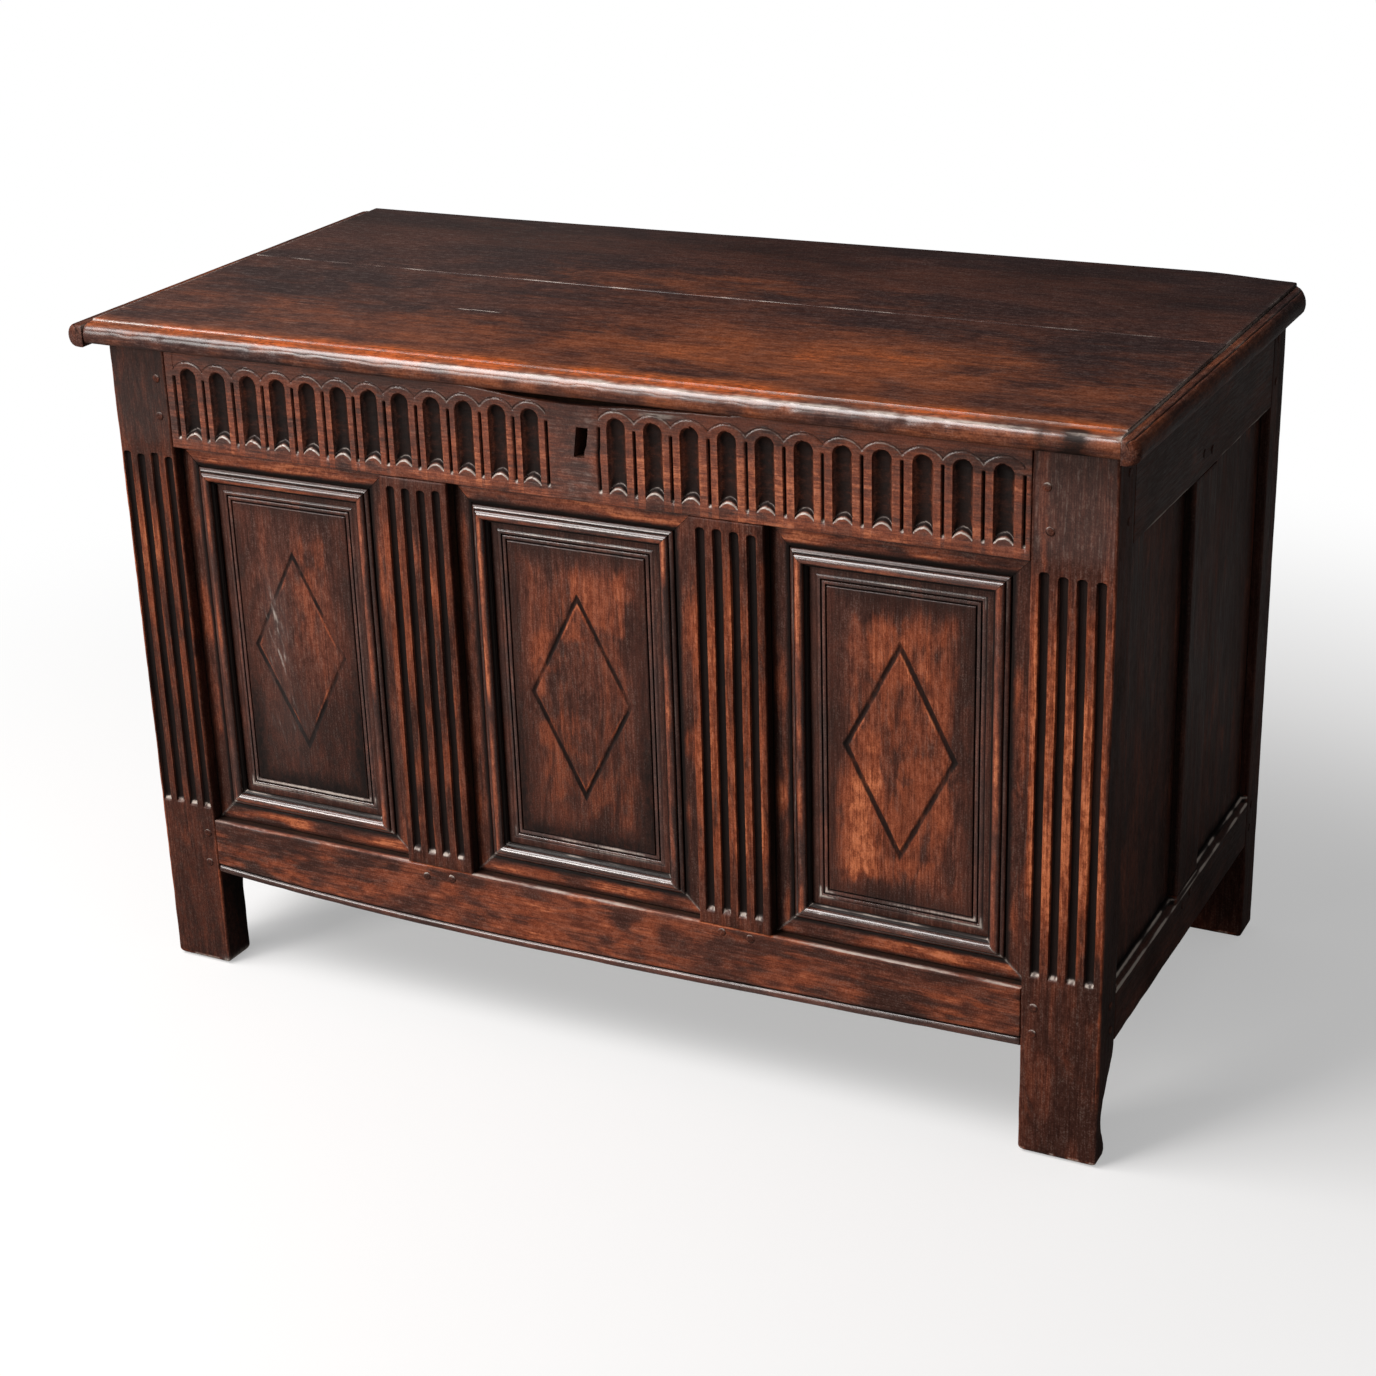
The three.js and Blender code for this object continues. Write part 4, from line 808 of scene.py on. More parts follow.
def frieze_wear(x, z, proud, sunk):
    """The flats beside the flutes are rubbed in patches and the cuts hold soot. Two pale crescents of
    painted highlight, with a line of painted shade between them, lie on the foot of every flute; each
    arc cut has painted shade above and painted highlight below, the flats a faint painted sheen, and
    the rail's top painted shade under the lid."""
    middle, off_line, drift, pitch, inside = frieze_bays(x)
    up = z - FRONT_HIGH
    t = (x - middle) / (FLUTE_WIDTH / 2)
    foot = up - 11.5 - drift[4] * 0.7 - 6.0 * (1 - t * t)
    post = inside * (np.abs(t) > 1.02) * (np.abs(off_line) > GROOVE_HALF) * ease(-up, -84, -60)
    patch = unit(0.5 + 0.9 * ripple(x * 1.7, z, 33, 35))
    rub = post * (0.14 + 0.36 * patch * streaked(x, z, 33)) * (0.6 + 0.4 * hump(x, 600, 450))
    rub = rub + unit(proud / 1.8) * 0.3 + 0.5 * hump(up, 4, 6) * unit(0.35 + 0.9 * ripple(x, z, 40, 34))
    key = hump(x, KEY_MIDDLE, 36)
    rub = rub * (1 - 0.6 * key) + 0.3 + 0.1 * ease(x, 250, 620) - 0.22 * key
    rub = rub + 0.35 * hump(x, 573, 9) * hump(z, 648, 9)
    arc = scallop_distance(x, z, middle, pitch)
    over = inside * (up > CUSP - 3)
    rim = inside * (np.abs(t) < 0.97) * (up < 60)
    # Painted highlights: two pale crescents on each flute's foot, with a line of painted shade between them.
    lit = hump(foot, 0.1, 0.75) + 0.6 * hump(foot, 4.2, 0.8)
    # Painted shade on the upper wall of each arc cut and along the rail's top under the lid, added to the soot in
    # the cuts.
    grime = unit(sunk / 2.3) * 1.2 + 0.25 * ease(z, 698, 712) + 0.6 * hump(arc, 0.35, 0.65) * over
    grime = grime + rim * (0.9 * hump(foot, 2.1, 0.9) - lit)
    # Painted highlight on the lower wall of each arc cut.
    dust = 0.85 * lit * rim + 0.42 * hump(arc, -1.2, 0.6) * over * unit(0.55 + ripple(x, z, 22, 38))
    # The pale haze on the flats, away from the cuts, is a painted sheen.
    dust = dust + 0.8 * hump(off_line, 0, 1.6) * hump(up, 12, 1.6) + 0.15 * (1 - unit(sunk / 0.8))
    dust = dust + 0.5 * hump(x, 645, 28) * hump(z, 702, 4) * unit(0.5 + ripple(x, z, 9, 46))
    dust = dust + key * (0.04 + 0.1 * unit(ripple(2 * x, z, 14, 39) + 0.3))
    return rub, grime, dust, 0.12 + 0.5 * lit * rim


class COFFER_OT_frieze(bpy.types.Operator):
    """The top front rail, carved with flutes under a scalloped line, and pierced by the keyhole"""

    bl_idname = "coffer.frieze"
    bl_label = "Fluted frieze"

    def execute(self, context):
        features = []
        walls = np.array([-1.03, -0.99, -0.94, -0.85, 0.85, 0.94, 0.99, 1.03])
        for start, stop, count in FLUTE_RUNS:
            lines = start + (stop - start) / count * np.arange(count + 1)
            middles = start + (stop - start) / count * (np.arange(count) + 0.5)
            features.append((lines[:, None] + GROOVE_HALF * np.array([-1, -0.5, 0, 0.5, 1])).ravel())
            features.append((middles[:, None] + FLUTE_WIDTH / 2 * walls).ravel())
        base = FRONT_HIGH
        xs = span_places(*FRONT_RAIL, 1.12, *features, gap=0.36)
        zs = merged(edge_places(base, HEIGHT), np.arange(base + 9.5, base + 24, 0.75),
                    np.arange(base + 24, base + 74, 5.5), np.arange(base + 74, base + 97, 0.8),
                    np.arange(base + 97, HEIGHT - 2, 3.0), [KEY_LOW, KEY_HIGH], gap=0.36)
        hole = []
        for places, cuts in ((xs, (KEY_MIDDLE - KEY_HALF, KEY_MIDDLE + KEY_HALF)), (zs, (KEY_LOW, KEY_HIGH))):
            for cut in cuts:
                hole.append(int(np.argmin(np.abs(places - cut))))
                places[hole[-1]] = cut
        board("rail_frieze", "front", xs, zs, frieze_relief, 31, "x", frieze_wear, warp=self.warp, hole=hole)
        return {"FINISHED"}

    def warp(self, x, z):
        """Leans the keyhole's sides and lets the rail's top edge sag towards its middle."""
        near = unit(1 - np.abs(x - KEY_MIDDLE) / 26) * hump(z, (KEY_LOW + KEY_HIGH) / 2, 30)
        lean = KEY_SLANT * (unit((z - KEY_LOW) / (KEY_HIGH - KEY_LOW)) - 0.5)
        narrow = 2.4 * (x > KEY_MIDDLE) * (1 - ease(z, KEY_LOW + 7, KEY_LOW + 13)) * near
        worn = 1.5 + 13.0 * hump(x, 540, 110) + 5.0 * hump(x, 690, 60) + 1.2 * ripple(x, 0, 38, 30)
        return x + lean * unit(near * 1.6) - narrow, z - worn * ease(z, HEIGHT - 16, HEIGHT)


BEAD, QUIRK = 9.0, 2.6


class COFFER_OT_bottom_rail(bpy.types.Operator):
    """The front bottom rail, whose bowed lower edge carries a bead"""

    bl_idname = "coffer.bottom_rail"
    bl_label = "Front bottom rail"

    def execute(self, context):
        zs = merged(edge_places(RAIL_LOW, FRONT_LOW), RAIL_LOW + np.linspace(0, BEAD, 12),
                    RAIL_LOW + BEAD + np.array([0.5, 1.1, 1.8, 2.4, 3.5]),
                    np.arange(RAIL_LOW + 14, FRONT_LOW - 2, 2.5))
        board("rail_front_bottom", "front", span_places(*FRONT_RAIL, 4.0), zs, self.relief, 41, "x",
              self.wear, warp=self.warp)
        return {"FINISHED"}

    def relief(self, x, z):
        """The bead is half a circle across, and the rail's face slopes up from the quirk above it."""
        height = z - RAIL_LOW
        edge = QUIRK * (1 - np.sqrt(np.clip(1 - (2 * height / BEAD - 1) ** 2, 0, 1)))
        slope = QUIRK * unit(1 - (height - BEAD) / 2.2)
        return np.where(height < BEAD, edge, slope) + face_wave(x, z, 41)

    def warp(self, x, z):
        """Bows the lower edge down by sag * (1 - t^2) * (1 - lean * t), with t along the rail."""
        left, right = FRONT_RAIL
        place = (2 * x - left - right) / (right - left)
        sag = RAIL_SAG * (1 - place**2) * (1 - RAIL_LEAN * place)
        return x, z - sag * (1 - ease(z, RAIL_LOW + 10, FRONT_LOW))

    def wear(self, x, z, proud, sunk):
        height = z - RAIL_LOW
        cloud = 0.5 + 0.5 * ripple(x, z * 1.6, 70, 43)
        flecks = 0.5 + 0.5 * ripple(x * 0.35, z, 6, 44)
        pale_breakup = unit(0.5 + 0.8 * ripple(x, z, 30, 45))
        bays = sum((x > start) & (x < end) for start, end in FRONT_OPENINGS)
        # The pale lines on the top of the bead and along the rail's top arris are wear and wax, and also painted
        # highlight on these up-facing edges.
        rub = 0.12 + 0.85 * cloud * flecks * (height > BEAD) + 0.7 * hump(z, FRONT_LOW, 0.8)
        grime = 1.1 * hump(height, BEAD + 0.6, 1.0) + 0.4 * (1 - cloud) * (1 - flecks)
        dust = 0.5 * hump(height, 7.6, 0.9) * pale_breakup * (0.35 + 0.65 * ease(x, 300, 700))
        dust = dust + 0.8 * hump(z, FRONT_LOW, 1.0) * (0.45 + 0.55 * pale_breakup) * bays
        return rub, grime, dust, 0.1 + 0.35 * (1 + ease(x, 300, 700)) * (height < BEAD)


class COFFER_OT_muntins(bpy.types.Operator):
    """The two front muntins, with four hollows down each"""

    bl_idname = "coffer.muntins"
    bl_label = "Front muntins"

    def execute(self, context):
        low, high = FRONT_LOW + FIT, FRONT_HIGH - FIT
        zs = merged(edge_places(low, high), channel_rows(low, high), gap=0.3)
        for i, where in enumerate(("left", "right")):
            span, seed = (FRONT_OPENINGS[i][1], FRONT_OPENINGS[i + 1][0]), 51 + 3 * i
            xs = merged(edge_places(*span), channel_columns(*span), gap=0.12)
            wear = post_wear(*span, seed, 0.34 + 0.14 * i, 0.12 - 0.04 * i, 0.3 - 0.5 * i)
            board(f"muntin_front_{where}", "front", xs, zs, channel_relief(*span, seed), seed, "z", wear)
        return {"FINISHED"}


BEAD_START, BEAD_WIDTH = 46.0, 5.0
LOZENGE = (55.0, 107.0)


def bead_section(inset):
    """Depth over the panel's face: two half-round beads between quirks, then the raised field."""
    start, width = BEAD_START, BEAD_WIDTH
    quirks = sum(vee(inset - (start + k * width), 0.9, deep) for k, deep in enumerate((0.3, 1.5, 1.7)))
    inside = (inset > start) & (inset < start + 2 * width)
    t = ((inset - start) % width) / width * 2 - 1
    tall = np.where(inset < start + width, 1.5, 1.0)
    rounds = np.where(inside, tall * (0.6 - np.sqrt(unit(1 - t * t))), 0)
    return quirks + rounds - 0.5 * ease(inset, start + 2 * width + 0.4, start + 2 * width + 1.6)


def panel_back(x0, x1, z0, z1, face):
    """The loops behind a panel's face: its tongue all round, then a bevel up to its full thickness."""
    t, b = TONGUE, PANEL_BEVEL
    return [(x0 - t, x1 + t, z0 - t, z1 + t, face + PANEL_LIP), (x0, x1, z0, z1, face + PANEL_LIP),
            (x0 + b, x1 - b, z0 + b, z1 - b, face + PANEL_THICKNESS)]


class COFFER_OT_front_panels(bpy.types.Operator):
    """The three front panels: two beads round a field with an incised lozenge"""

    bl_idname = "coffer.front_panels"
    bl_label = "Front panels"

    def execute(self, context):
        for i, where in enumerate(("left", "middle", "right")):
            self.panel(f"panel_front_{where}", FRONT_OPENINGS[i], 61 + 4 * i, i)
        return {"FINISHED"}

    def panel(self, node, opening, seed, number):
        (x0, x1), (z0, z1) = opening, (FRONT_LOW, FRONT_HIGH)
        mid_x, mid_z = (x0 + x1) / 2, (z0 + z1) / 2
        half_w, half_h = LOZENGE
        steep = math.hypot(half_w, half_h) / (half_w * half_h)
        # What differs from panel to panel, from the left one to the right one.
        line_width, line_strength, soot_reach = ((2.3, 0.55, 2.9), (2.7, 0.8, 3.1), (3.5, 0.8, 4.2))[number]
        lean, high, low, contrast = ((0.23, 0.14, -0.22, 0.55), (0.54, 0.14, -0.22, 0.55),
                                     (0.68, 0.0, 0.0, 0.34))[number]
        soot_and_shade, gloom, upper_wax_and_highlight, dull = ((0.6, 0.38, 0.2, 0.6), (0.8, 0.26, 0.9, 0.3),
                                        (0.85, 0.0, 1.0, 0.0))[number]

        def lozenge(x, z):
            """Distance from the lozenge's lines: (|x|/a + |z|/b - 1) over the slope's length."""
            sway = 0.006 * ripple(x, z, 40, seed + 2)
            return (np.abs(x - mid_x) / half_w + np.abs(z - mid_z) / half_h - 1 + sway) / steep

        def relief(x, z):
            line = vee(lozenge(x, z), line_width, 1.3 * millimetres("line_depth"))
            line = line * (line_strength + 0.35 * ripple(x, z, 26, seed + 3))
            scrapes = 0.03 * ripple(x, z * 0.12, 3.2, seed + 6)
            beads = bead_section(inset_of(x, z, x0, x1, z0, z1))
            return PANEL_FACE + beads + line + 1.6 * face_wave(x, z, seed) + scrapes

        def wear(x, z, proud, sunk):
            inset = inset_of(x, z, x0, x1, z0, z1)
            beads = hump(inset, BEAD_START + BEAD_WIDTH, BEAD_WIDTH)
            cloud = 0.5 + 0.5 * ripple(x, z, 48, seed + 4)
            streak = 0.5 + 0.5 * ripple(x, z * 0.12, 6, seed + 5)
            spread = ease(cloud + 0.25 * ripple(x, z, 13, seed + 12), 0.35, 0.62)
            level = lean + high * ease(z, mid_z - 40, z1 - 60) + low * hump(z, z0 + 110, 80)
            rub = level * ease(inset, 60, 92) * (1.04 - contrast * (1 - spread)) * (0.9 + 0.12 * streak)
            if number == 2:
                torn = z + 9 * ripple(x, 0, 8, seed + 13)
                patch = hump(x, mid_x - 46, 24) * ease(torn, z0 + 74, z0 + 80)
                patch = patch * (1 - ease(z, mid_z - 70, mid_z + 20))
                rub = rub * (1 - 0.5 * hump(x, mid_x + 45, 32) * hump(z, z0 + 100, 50)) + 0.42 * patch
                rub = rub * (1 - 0.2 * ease(z, mid_z + 40, z1 - 70))
            beyond = lozenge(x, z)
            rub = rub + unit(proud / 0.7) * 0.4 * streak * beads
            rub = rub + 0.75 * hump(beyond, -3.0, 0.9) * unit(1.6 * ripple(x, z, 24, seed + 10))
            grime = unit(sunk / 0.8) * (inset < 60) + 0.8 * hump(inset, 39, 3.0)
            near_line = 0.9 * (1 - ease(np.abs(beyond - 0.2), 1.5, soot_reach))
            grime = grime + near_line * (soot_and_shade + 0.35 * ripple(x, z, 17, seed + 11))
            gloomy = 0.36 * (1 - ease(inset, 57, 80)) + gloom * (1 - ease(z, mid_z - 110, mid_z + 30))
            grime = grime + gloomy * (inset > 57)
            # Pale lines on the beads' up-facing sides, along the bottom run and on the top run's outer bead: wax,
            # and painted highlight.
            bead_wax_and_highlight = 1.25 * ease(z0 + 62 - z, 0, 6) * (hump(inset, 53.6, 1.5) + hump(inset, 47.4, 1.5))
            upper = upper_wax_and_highlight * ease(z - z1 + 62, 0, 6) * hump(inset, 47.2, 0.8)
            dust = 0.75 * (bead_wax_and_highlight + upper) * unit(0.6 + ripple(x, z, 26, seed + 8))
            if number == 0:
                scuff = hump(x, mid_x - 28, 15) * hump(z, mid_z + 18, 60)
                scuff = scuff + 0.55 * hump(x, mid_x - 20, 32) * hump(z, mid_z - 85, 45)
                scrape = unit(1.5 * ripple(x + 0.3 * z, z * 0.12, 3, seed + 9) - 0.2)
                dust = dust + scuff * (0.26 + 0.4 * scrape)
            return rub, grime, dust, (0.85 - dull * ease(z, mid_z, z1)) * beads + 0.1

        near = np.concatenate([[-TONGUE, 0.0, 20.0, 36.0, 42.0, 44.0], BEAD_START + np.linspace(-1, 12, 27)])
        xs = merged(x0 + near, x1 - near, np.arange(x0 + 60, x1 - 59, 1.05))
        zs = merged(z0 + near, z1 - near, np.arange(z0 + 60, z1 - 59, 1.5))
        board(node, "front", xs, zs, relief, seed, "z", wear, back=panel_back(x0, x1, z0, z1, PANEL_FACE),
              radius=0.5)


def moulding_profile():
    """The panel moulding's insets and depths: a flat band, a quirk, a sloping fillet, a second quirk,
    a broad roll, and a cove and fillet down to the panel. Roll and cove are parts of ellipses."""
    t = np.linspace(0, np.pi / 2, 9)
    band = [(0.3, 13.8), (0.6, 13.2), (1.4, 13.0), (7.0, 12.95), (14.0, 12.85), (20.0, 12.75), (20.6, 13.1)]
    quirk = [(21.0, 14.2), (21.5, 14.2), (21.8, 11.9), (22.2, 11.2), (24.9, 9.7), (25.4, 9.75),
             (25.7, 10.4), (26.2, 10.3)]
    angle = np.linspace(-0.97, 0.9, 17) * np.pi / 2
    roll = np.stack([30.9 + 4.6 * np.sin(angle), 9.6 - 3.8 * np.cos(angle)], axis=-1)
    inner = np.stack([37.0 - 1.5 * np.cos(t), 12.0 - 2.7 * (1 - np.sin(t))], axis=-1)
    foot = [(37.3, 12.3), (37.9, 12.3), (38.2, 12.6), (38.4, 13.4), (38.9, 13.6), (39.0, 14.2)]
    rows = np.concatenate([band, quirk, roll, inner, foot])
    return rows[np.concatenate([[True], np.linalg.norm(np.diff(rows, axis=0), axis=1) > 0.05])].T


# For each edge of a panel: where on the roll its strip is rubbed and how much, how much on its band,
# which is painted light as well as wear, and its polish on the left, middle and right panel.
STRIP_LOOKS = {
    "top": (33.5, 0.66, 1.6, (0.25, 0.6, 0.95)),
    "bottom": (28.6, 0.45, 1.1, (0.65, 0.85, 0.9)),
    "left": (31.0, 1.0, 0.6, (0.4, 0.4, 0.4)),
    "right": (31.0, 0.95, 0.5, (0.4, 0.4, 0.4)),
}


class COFFER_OT_mouldings(bpy.types.Operator):
    """The mitred mouldings round the front panels, four to a panel"""

    bl_idname = "coffer.mouldings"
    bl_label = "Panel mouldings"

    def execute(self, context):
        for number, where in enumerate(("left", "middle", "right")):
            for k, edge in enumerate(STRIP_LOOKS):
                self.strip(f"moulding_{where}_{edge}", number, edge, 81 + 4 * number + k)
        return {"FINISHED"}

    def strip(self, node, number, edge, seed):
        """A strip: the profile is carried along the opening's edge and stops short by its own inset
        at both ends, which makes the mitres."""
        upright = edge in ("left", "right")
        spans = (FRONT_OPENINGS[number], (FRONT_LOW, FRONT_HIGH))
        (start, end), (near, far) = spans[::-1] if upright else spans
        inset, depth = moulding_profile()
        stations = np.linspace(0, 1, int((end - start) / 3.2))[:, None]
        along = (start + inset + FIT) + stations * (end - start - 2 * (inset + FIT))
        even = np.linspace(0.3, 39, 260)
        section = np.interp(even, inset, depth)[:, None]
        proud = np.interp(inset, even, (smear(section, 14) - section)[:, 0])
        sunk = np.interp(inset, even, (section - smear(section, 26))[:, 0])
        chips = unit(ripple(along, inset * 1.2, 16, seed + 40) - 0.45) * unit(proud) * 0.8
        face = depth + 0.3 * ripple(along, 0.2 * inset, 60, seed) + chips
        across = (far - inset if edge in ("right", "top") else near + inset) + 0 * along
        front = np.stack([across, face, along] if upright else [along, face, across], axis=-1)
        n = len(inset)
        behind = front[:, [n - 1, n - 1 - n // 3, n - 1 - 2 * n // 3, 0]]
        behind[..., 1] = PANEL_FACE - FIT
        crest_at, facing, lit_band, shines = STRIP_LOOKS[edge]
        shine, bottom = shines[number], edge == "bottom"
        streak = unit(0.5 + 0.55 * ripple(along, inset * 3, 38, seed + 50))
        band = ease(inset, 1, 4) * (1 - ease(inset, 15, 20))
        facing = facing * (1.5 if number == 0 and not upright else 1.0)
        rub = facing * hump(inset, crest_at, 2.8) * (0.15 + 0.95 * streak) + unit(proud / 1.6) * 0.15
        # Painted light as well as wear: the band is rubbed brighter, most on the top edge and least on the upright
        # ones.
        rub = rub + lit_band * band * (0.16 + 1.1 * streak**2.5)
        grime = unit(sunk / 1.2) * 1.1 * ease(inset, 16, 19) + 0.45 * hump(inset, 19.5, 2.0)
        grime = grime + 0.9 * hump(inset, 39, 1.2) + 0.8 * hump(inset, 0, 2.2)
        pale_breakup = unit(0.45 + 0.9 * ripple(along, inset * 5, 22, seed + 60))
        # Pale lines on the rolls' up-facing sides, on the bottom and top edges: wax, and painted highlight.
        low_wax_and_highlight = 0.6 * hump(inset, 38.2, 0.7) + 0.45 * hump(inset, 33.2, 1.6)
        top_wax_and_highlight = 0.38 * shine * hump(inset, 27.8, 1.3)
        dust = (low_wax_and_highlight * bottom + top_wax_and_highlight * (edge == "top")) * pale_breakup + 0.5 * hump(inset, 24.6, 0.6) * streak
        mitre = np.minimum(along - start - inset, end - inset - along)
        settled = bottom | upright & (along < start + (end - start) / 4)
        dust = dust + 0.5 * hump(mitre, 0, 1.3) * settled
        polish = 0.1 + shine * ease(inset, 22.0, 24.5) * (1 - ease(inset, 37.5, 39))
        pad = np.zeros((len(stations), 4))
        maps = {key: np.concatenate([unit(values + 0 * along), pad + hidden], axis=1) for key, values, hidden
                in (("rub", rub, 0.0), ("grime", grime, 0.8), ("dust", dust, 0.0), ("polish", polish, 0.0))}
        swept(node, np.concatenate([front, behind], axis=1), maps, "z" if upright else "x", seed, crisp=50)


def plain_wear(seed, rub_level, grime_level):
    """Slow patches of rub and grime for a board with no carving."""

    def wear(x, z, proud, sunk):
        cloud = 0.5 + 0.5 * ripple(x, z, 60, seed)
        streak = 0.5 + 0.5 * ripple(x * 0.9, z * 0.3, 16, seed + 1)
        rub = rub_level * cloud * streak + unit(proud / 1.2) * 0.4
        return rub, grime_level * (1 - cloud) + unit(sunk / 1.4), 0 * x

    return wear


def plain_board(name, side, across, up, steps, seed, along, levels, finish="stained_oak", rough=1.0):
    """A board with no carving over a span across and a span up, of a given rub and grime."""
    xs, zs = span_places(*across, steps[0]), span_places(*up, steps[1])
    board(name, side, xs, zs, lambda x, z: rough * face_wave(x, z, seed), seed, along,
          plain_wear(seed, *levels), finish)


def plain_panel(name, side, opening, heights, seed, finish="stained_oak"):
    """A plain riven panel: a gently uneven face, its bevelled edges held in the grooves."""
    (x0, x1), (z0, z1) = opening, heights

    def relief(x, z):
        riven = 0.5 * ripple(x, z * 0.08, 22, seed) + 0.2 * ripple(x, z * 0.1, 6, seed + 1)
        return SIDE_PANEL_FACE + riven + 0.5 * face_wave(x, z, seed)

    def wear(x, z, proud, sunk):
        rub, grime, dust = plain_wear(seed, 0.36, 0.18)(x, z, proud, sunk)
        return rub, grime + 0.55 * hump(inset_of(x, z, x0, x1, z0, z1), 0, 5), dust

    xs = merged([x0 - TONGUE, x0, x1, x1 + TONGUE], np.arange(x0 + 2, x1, 3.5))
    zs = merged([z0 - TONGUE, z0, z1, z1 + TONGUE], np.arange(z0 + 2, z1, 9.0))
    board(name, side, xs, zs, relief, seed, "z", wear, finish,
          panel_back(x0, x1, z0, z1, SIDE_PANEL_FACE), radius=0.5)


class COFFER_OT_ends(bpy.types.Operator):
    """The two ends of the chest: rails, a muntin and plain panels"""

    bl_idname = "coffer.ends"
    bl_label = "Chest ends"

    def execute(self, context):
        for side, names, seed in (("left", ("back", "front"), 110), ("right", ("front", "back"), 130)):
            self.rails(side, seed)
            plain_board(f"muntin_{side}", side, SIDE_MUNTIN, (SIDE_LOW + FIT, SIDE_HIGH - FIT), (5.0, 9.0),
                        seed + 6, "z", (0.2, 0.3))
            for k, (where, opening) in enumerate(zip(names, SIDE_OPENINGS)):
                plain_panel(f"panel_{side}_{where}", side, opening, (SIDE_LOW, SIDE_HIGH), seed + 8 + 3 * k)
        return {"FINISHED"}

    def rails(self, side, seed):
        """The two rails: the lower one has a chamfer stopped at each bay's ends, and pale wax lies along its
        lines and under the upper rail on the right, which the photograph shows; along the chamfer's lines
        the pale is also painted highlight."""
        kept = 1.0 if side == "right" else 0.25

        def bays(x, gap, soft):
            return np.maximum.reduce([within(x, a + gap, b - gap, soft) for a, b in SIDE_OPENINGS])

        def chamfer(x, z):
            return 0.8 * np.clip(z - SIDE_LOW + 10.0, 0, None) * bays(x, 1, 4) + face_wave(x, z, seed)

        def bottom_wear(x, z, proud, sunk):
            rub, grime, dust = plain_wear(seed, 0.15, 0.45)(x, z, proud, sunk)
            # The pale lines along the chamfer are wax and painted highlight.
            lines = 1.1 * hump(z, SIDE_LOW - 9.7, 1.4) + 0.9 * hump(z, SIDE_LOW - 2.5, 1.2)
            dust = 1.2 * kept * lines * unit(0.55 + 0.9 * ripple(x, z, 17, seed + 2))
            return rub, grime + (1 - kept) * ease(z, SIDE_LOW - 13, SIDE_LOW - 9), dust

        def top_wear(x, z, proud, sunk):
            rub, grime, dust = plain_wear(seed + 2, 0.2, 0.3)(x, z, proud, sunk)
            broken = unit(0.6 + 0.8 * ripple(x, 0, 26, seed + 4))
            return rub, grime, kept * hump(z, SIDE_HIGH + 1.0, 1.5) * bays(x, 8, 12) * broken

        ends = np.array([1, 2.3, 3.6, 5])
        xs = span_places(POST_DEPTH + FIT, DEPTH - POST_DEPTH - FIT, 5.0,
                         *[part for a, b in SIDE_OPENINGS for part in (a + ends, b - ends)])
        low = span_places(SIDE_RAIL_LOW, SIDE_LOW, 4.0, SIDE_LOW - 2.5 + np.array([-2, -1, 0, 1]),
                          SIDE_LOW - 10 + np.array([-2.2, -1.1, -0.5, 0, 0.5, 1.1, 2.2]))
        high = span_places(SIDE_HIGH, HEIGHT, 6.0, SIDE_HIGH + np.array([0.6, 1.2, 2.2, 3.4]))
        board(f"rail_{side}_bottom", side, xs, low, chamfer, seed, "x", bottom_wear)
        board(f"rail_{side}_top", side, xs, high, lambda x, z: face_wave(x, z, seed + 3), seed + 3, "x",
              top_wear)


class COFFER_OT_back(bpy.types.Operator):
    """The back of the chest: its bottom rail, muntins and panels, all plain"""

    bl_idname = "coffer.back"
    bl_label = "Chest back"

    def execute(self, context):
        levels, heights = (0.12, 0.5), (BACK_LOW, BACK_HIGH)
        plain_board("rail_back_bottom", "back", (POST_WIDTHS[1] + FIT, WIDTH - POST_WIDTHS[0] - FIT),
                    (RAIL_LOW, BACK_LOW), (7.0, 5.0), 161, "x", levels, "dry_oak_x", 1.5)
        for i, where in enumerate(("right", "left")):
            across = (BACK_OPENINGS[i][1], BACK_OPENINGS[i + 1][0])
            plain_board(f"muntin_back_{where}", "back", across, (BACK_LOW + FIT, BACK_HIGH - FIT),
                        (5.0, 9.0), 165 + i, "z", levels, "dry_oak_z", 1.5)
        for i, where in enumerate(("right", "middle", "left")):
            plain_panel(f"panel_back_{where}", "back", BACK_OPENINGS[i], heights, 170 + 3 * i, "dry_oak_z")
        return {"FINISHED"}


# The lid


def lid_end_at(y, side):
    """Where the lid's boards end: straight on the right, further out towards the back on the left."""
    if side > 0:
        return LID_BOARD_ENDS[1] + 0 * y
    return LID_BOARD_ENDS[0] - 3.0 - LID_LEFT_SPLAY * (y - LID_FRONT) / (LID_BACK - LID_FRONT)


def lid_scratch(x, y, seed, half_width, depth):
    """The fine crack along the grain of the front board."""
    return vee(y - 160 - 1.2 * ripple(x, 0, 20, seed + 2), half_width, depth) * within(x, 318, 384, 18)


def lid_rub(x, y):
    """Where hands and cloths have worn the lid: bright along the front, with warm patches behind."""
    front = 1.7 * hump(y, LID_FRONT + 18, 14) * (0.7 + 0.6 * ripple(x, y * 2, 60, 201))
    front = front * (0.38 + 0.62 * hump(x, 430, 300))
    near = 0.2 * hump(y, 60, 100) * (0.6 + 0.4 * ripple(x, y, 90, 202))
    patches = ((0.34, 500, 190, 350, 55), (0.4, 780, 180, 125, 70), (0.12, 230, 230, 70, 70),
               (0.08, 1075, 40, 90, 70))
    warm = sum(much * hump(x, at_x, wide) * hump(y, at_y, deep) for much, at_x, wide, at_y, deep in patches)
    blotches = 0.9 + 0.15 * ripple(x * 0.2, y, 8, 203) + 0.2 * ripple(x * 0.55, y, 22, 204)
    open_part = 0.19 * (1 - ease(y, 200, 470)) * (1 - 0.3 * ease(x, 800, 1080))
    open_part = open_part * (0.6 + 0.4 * ease(x, 150, 500))
    return unit((front + near + warm + open_part + 0.06) * blotches)


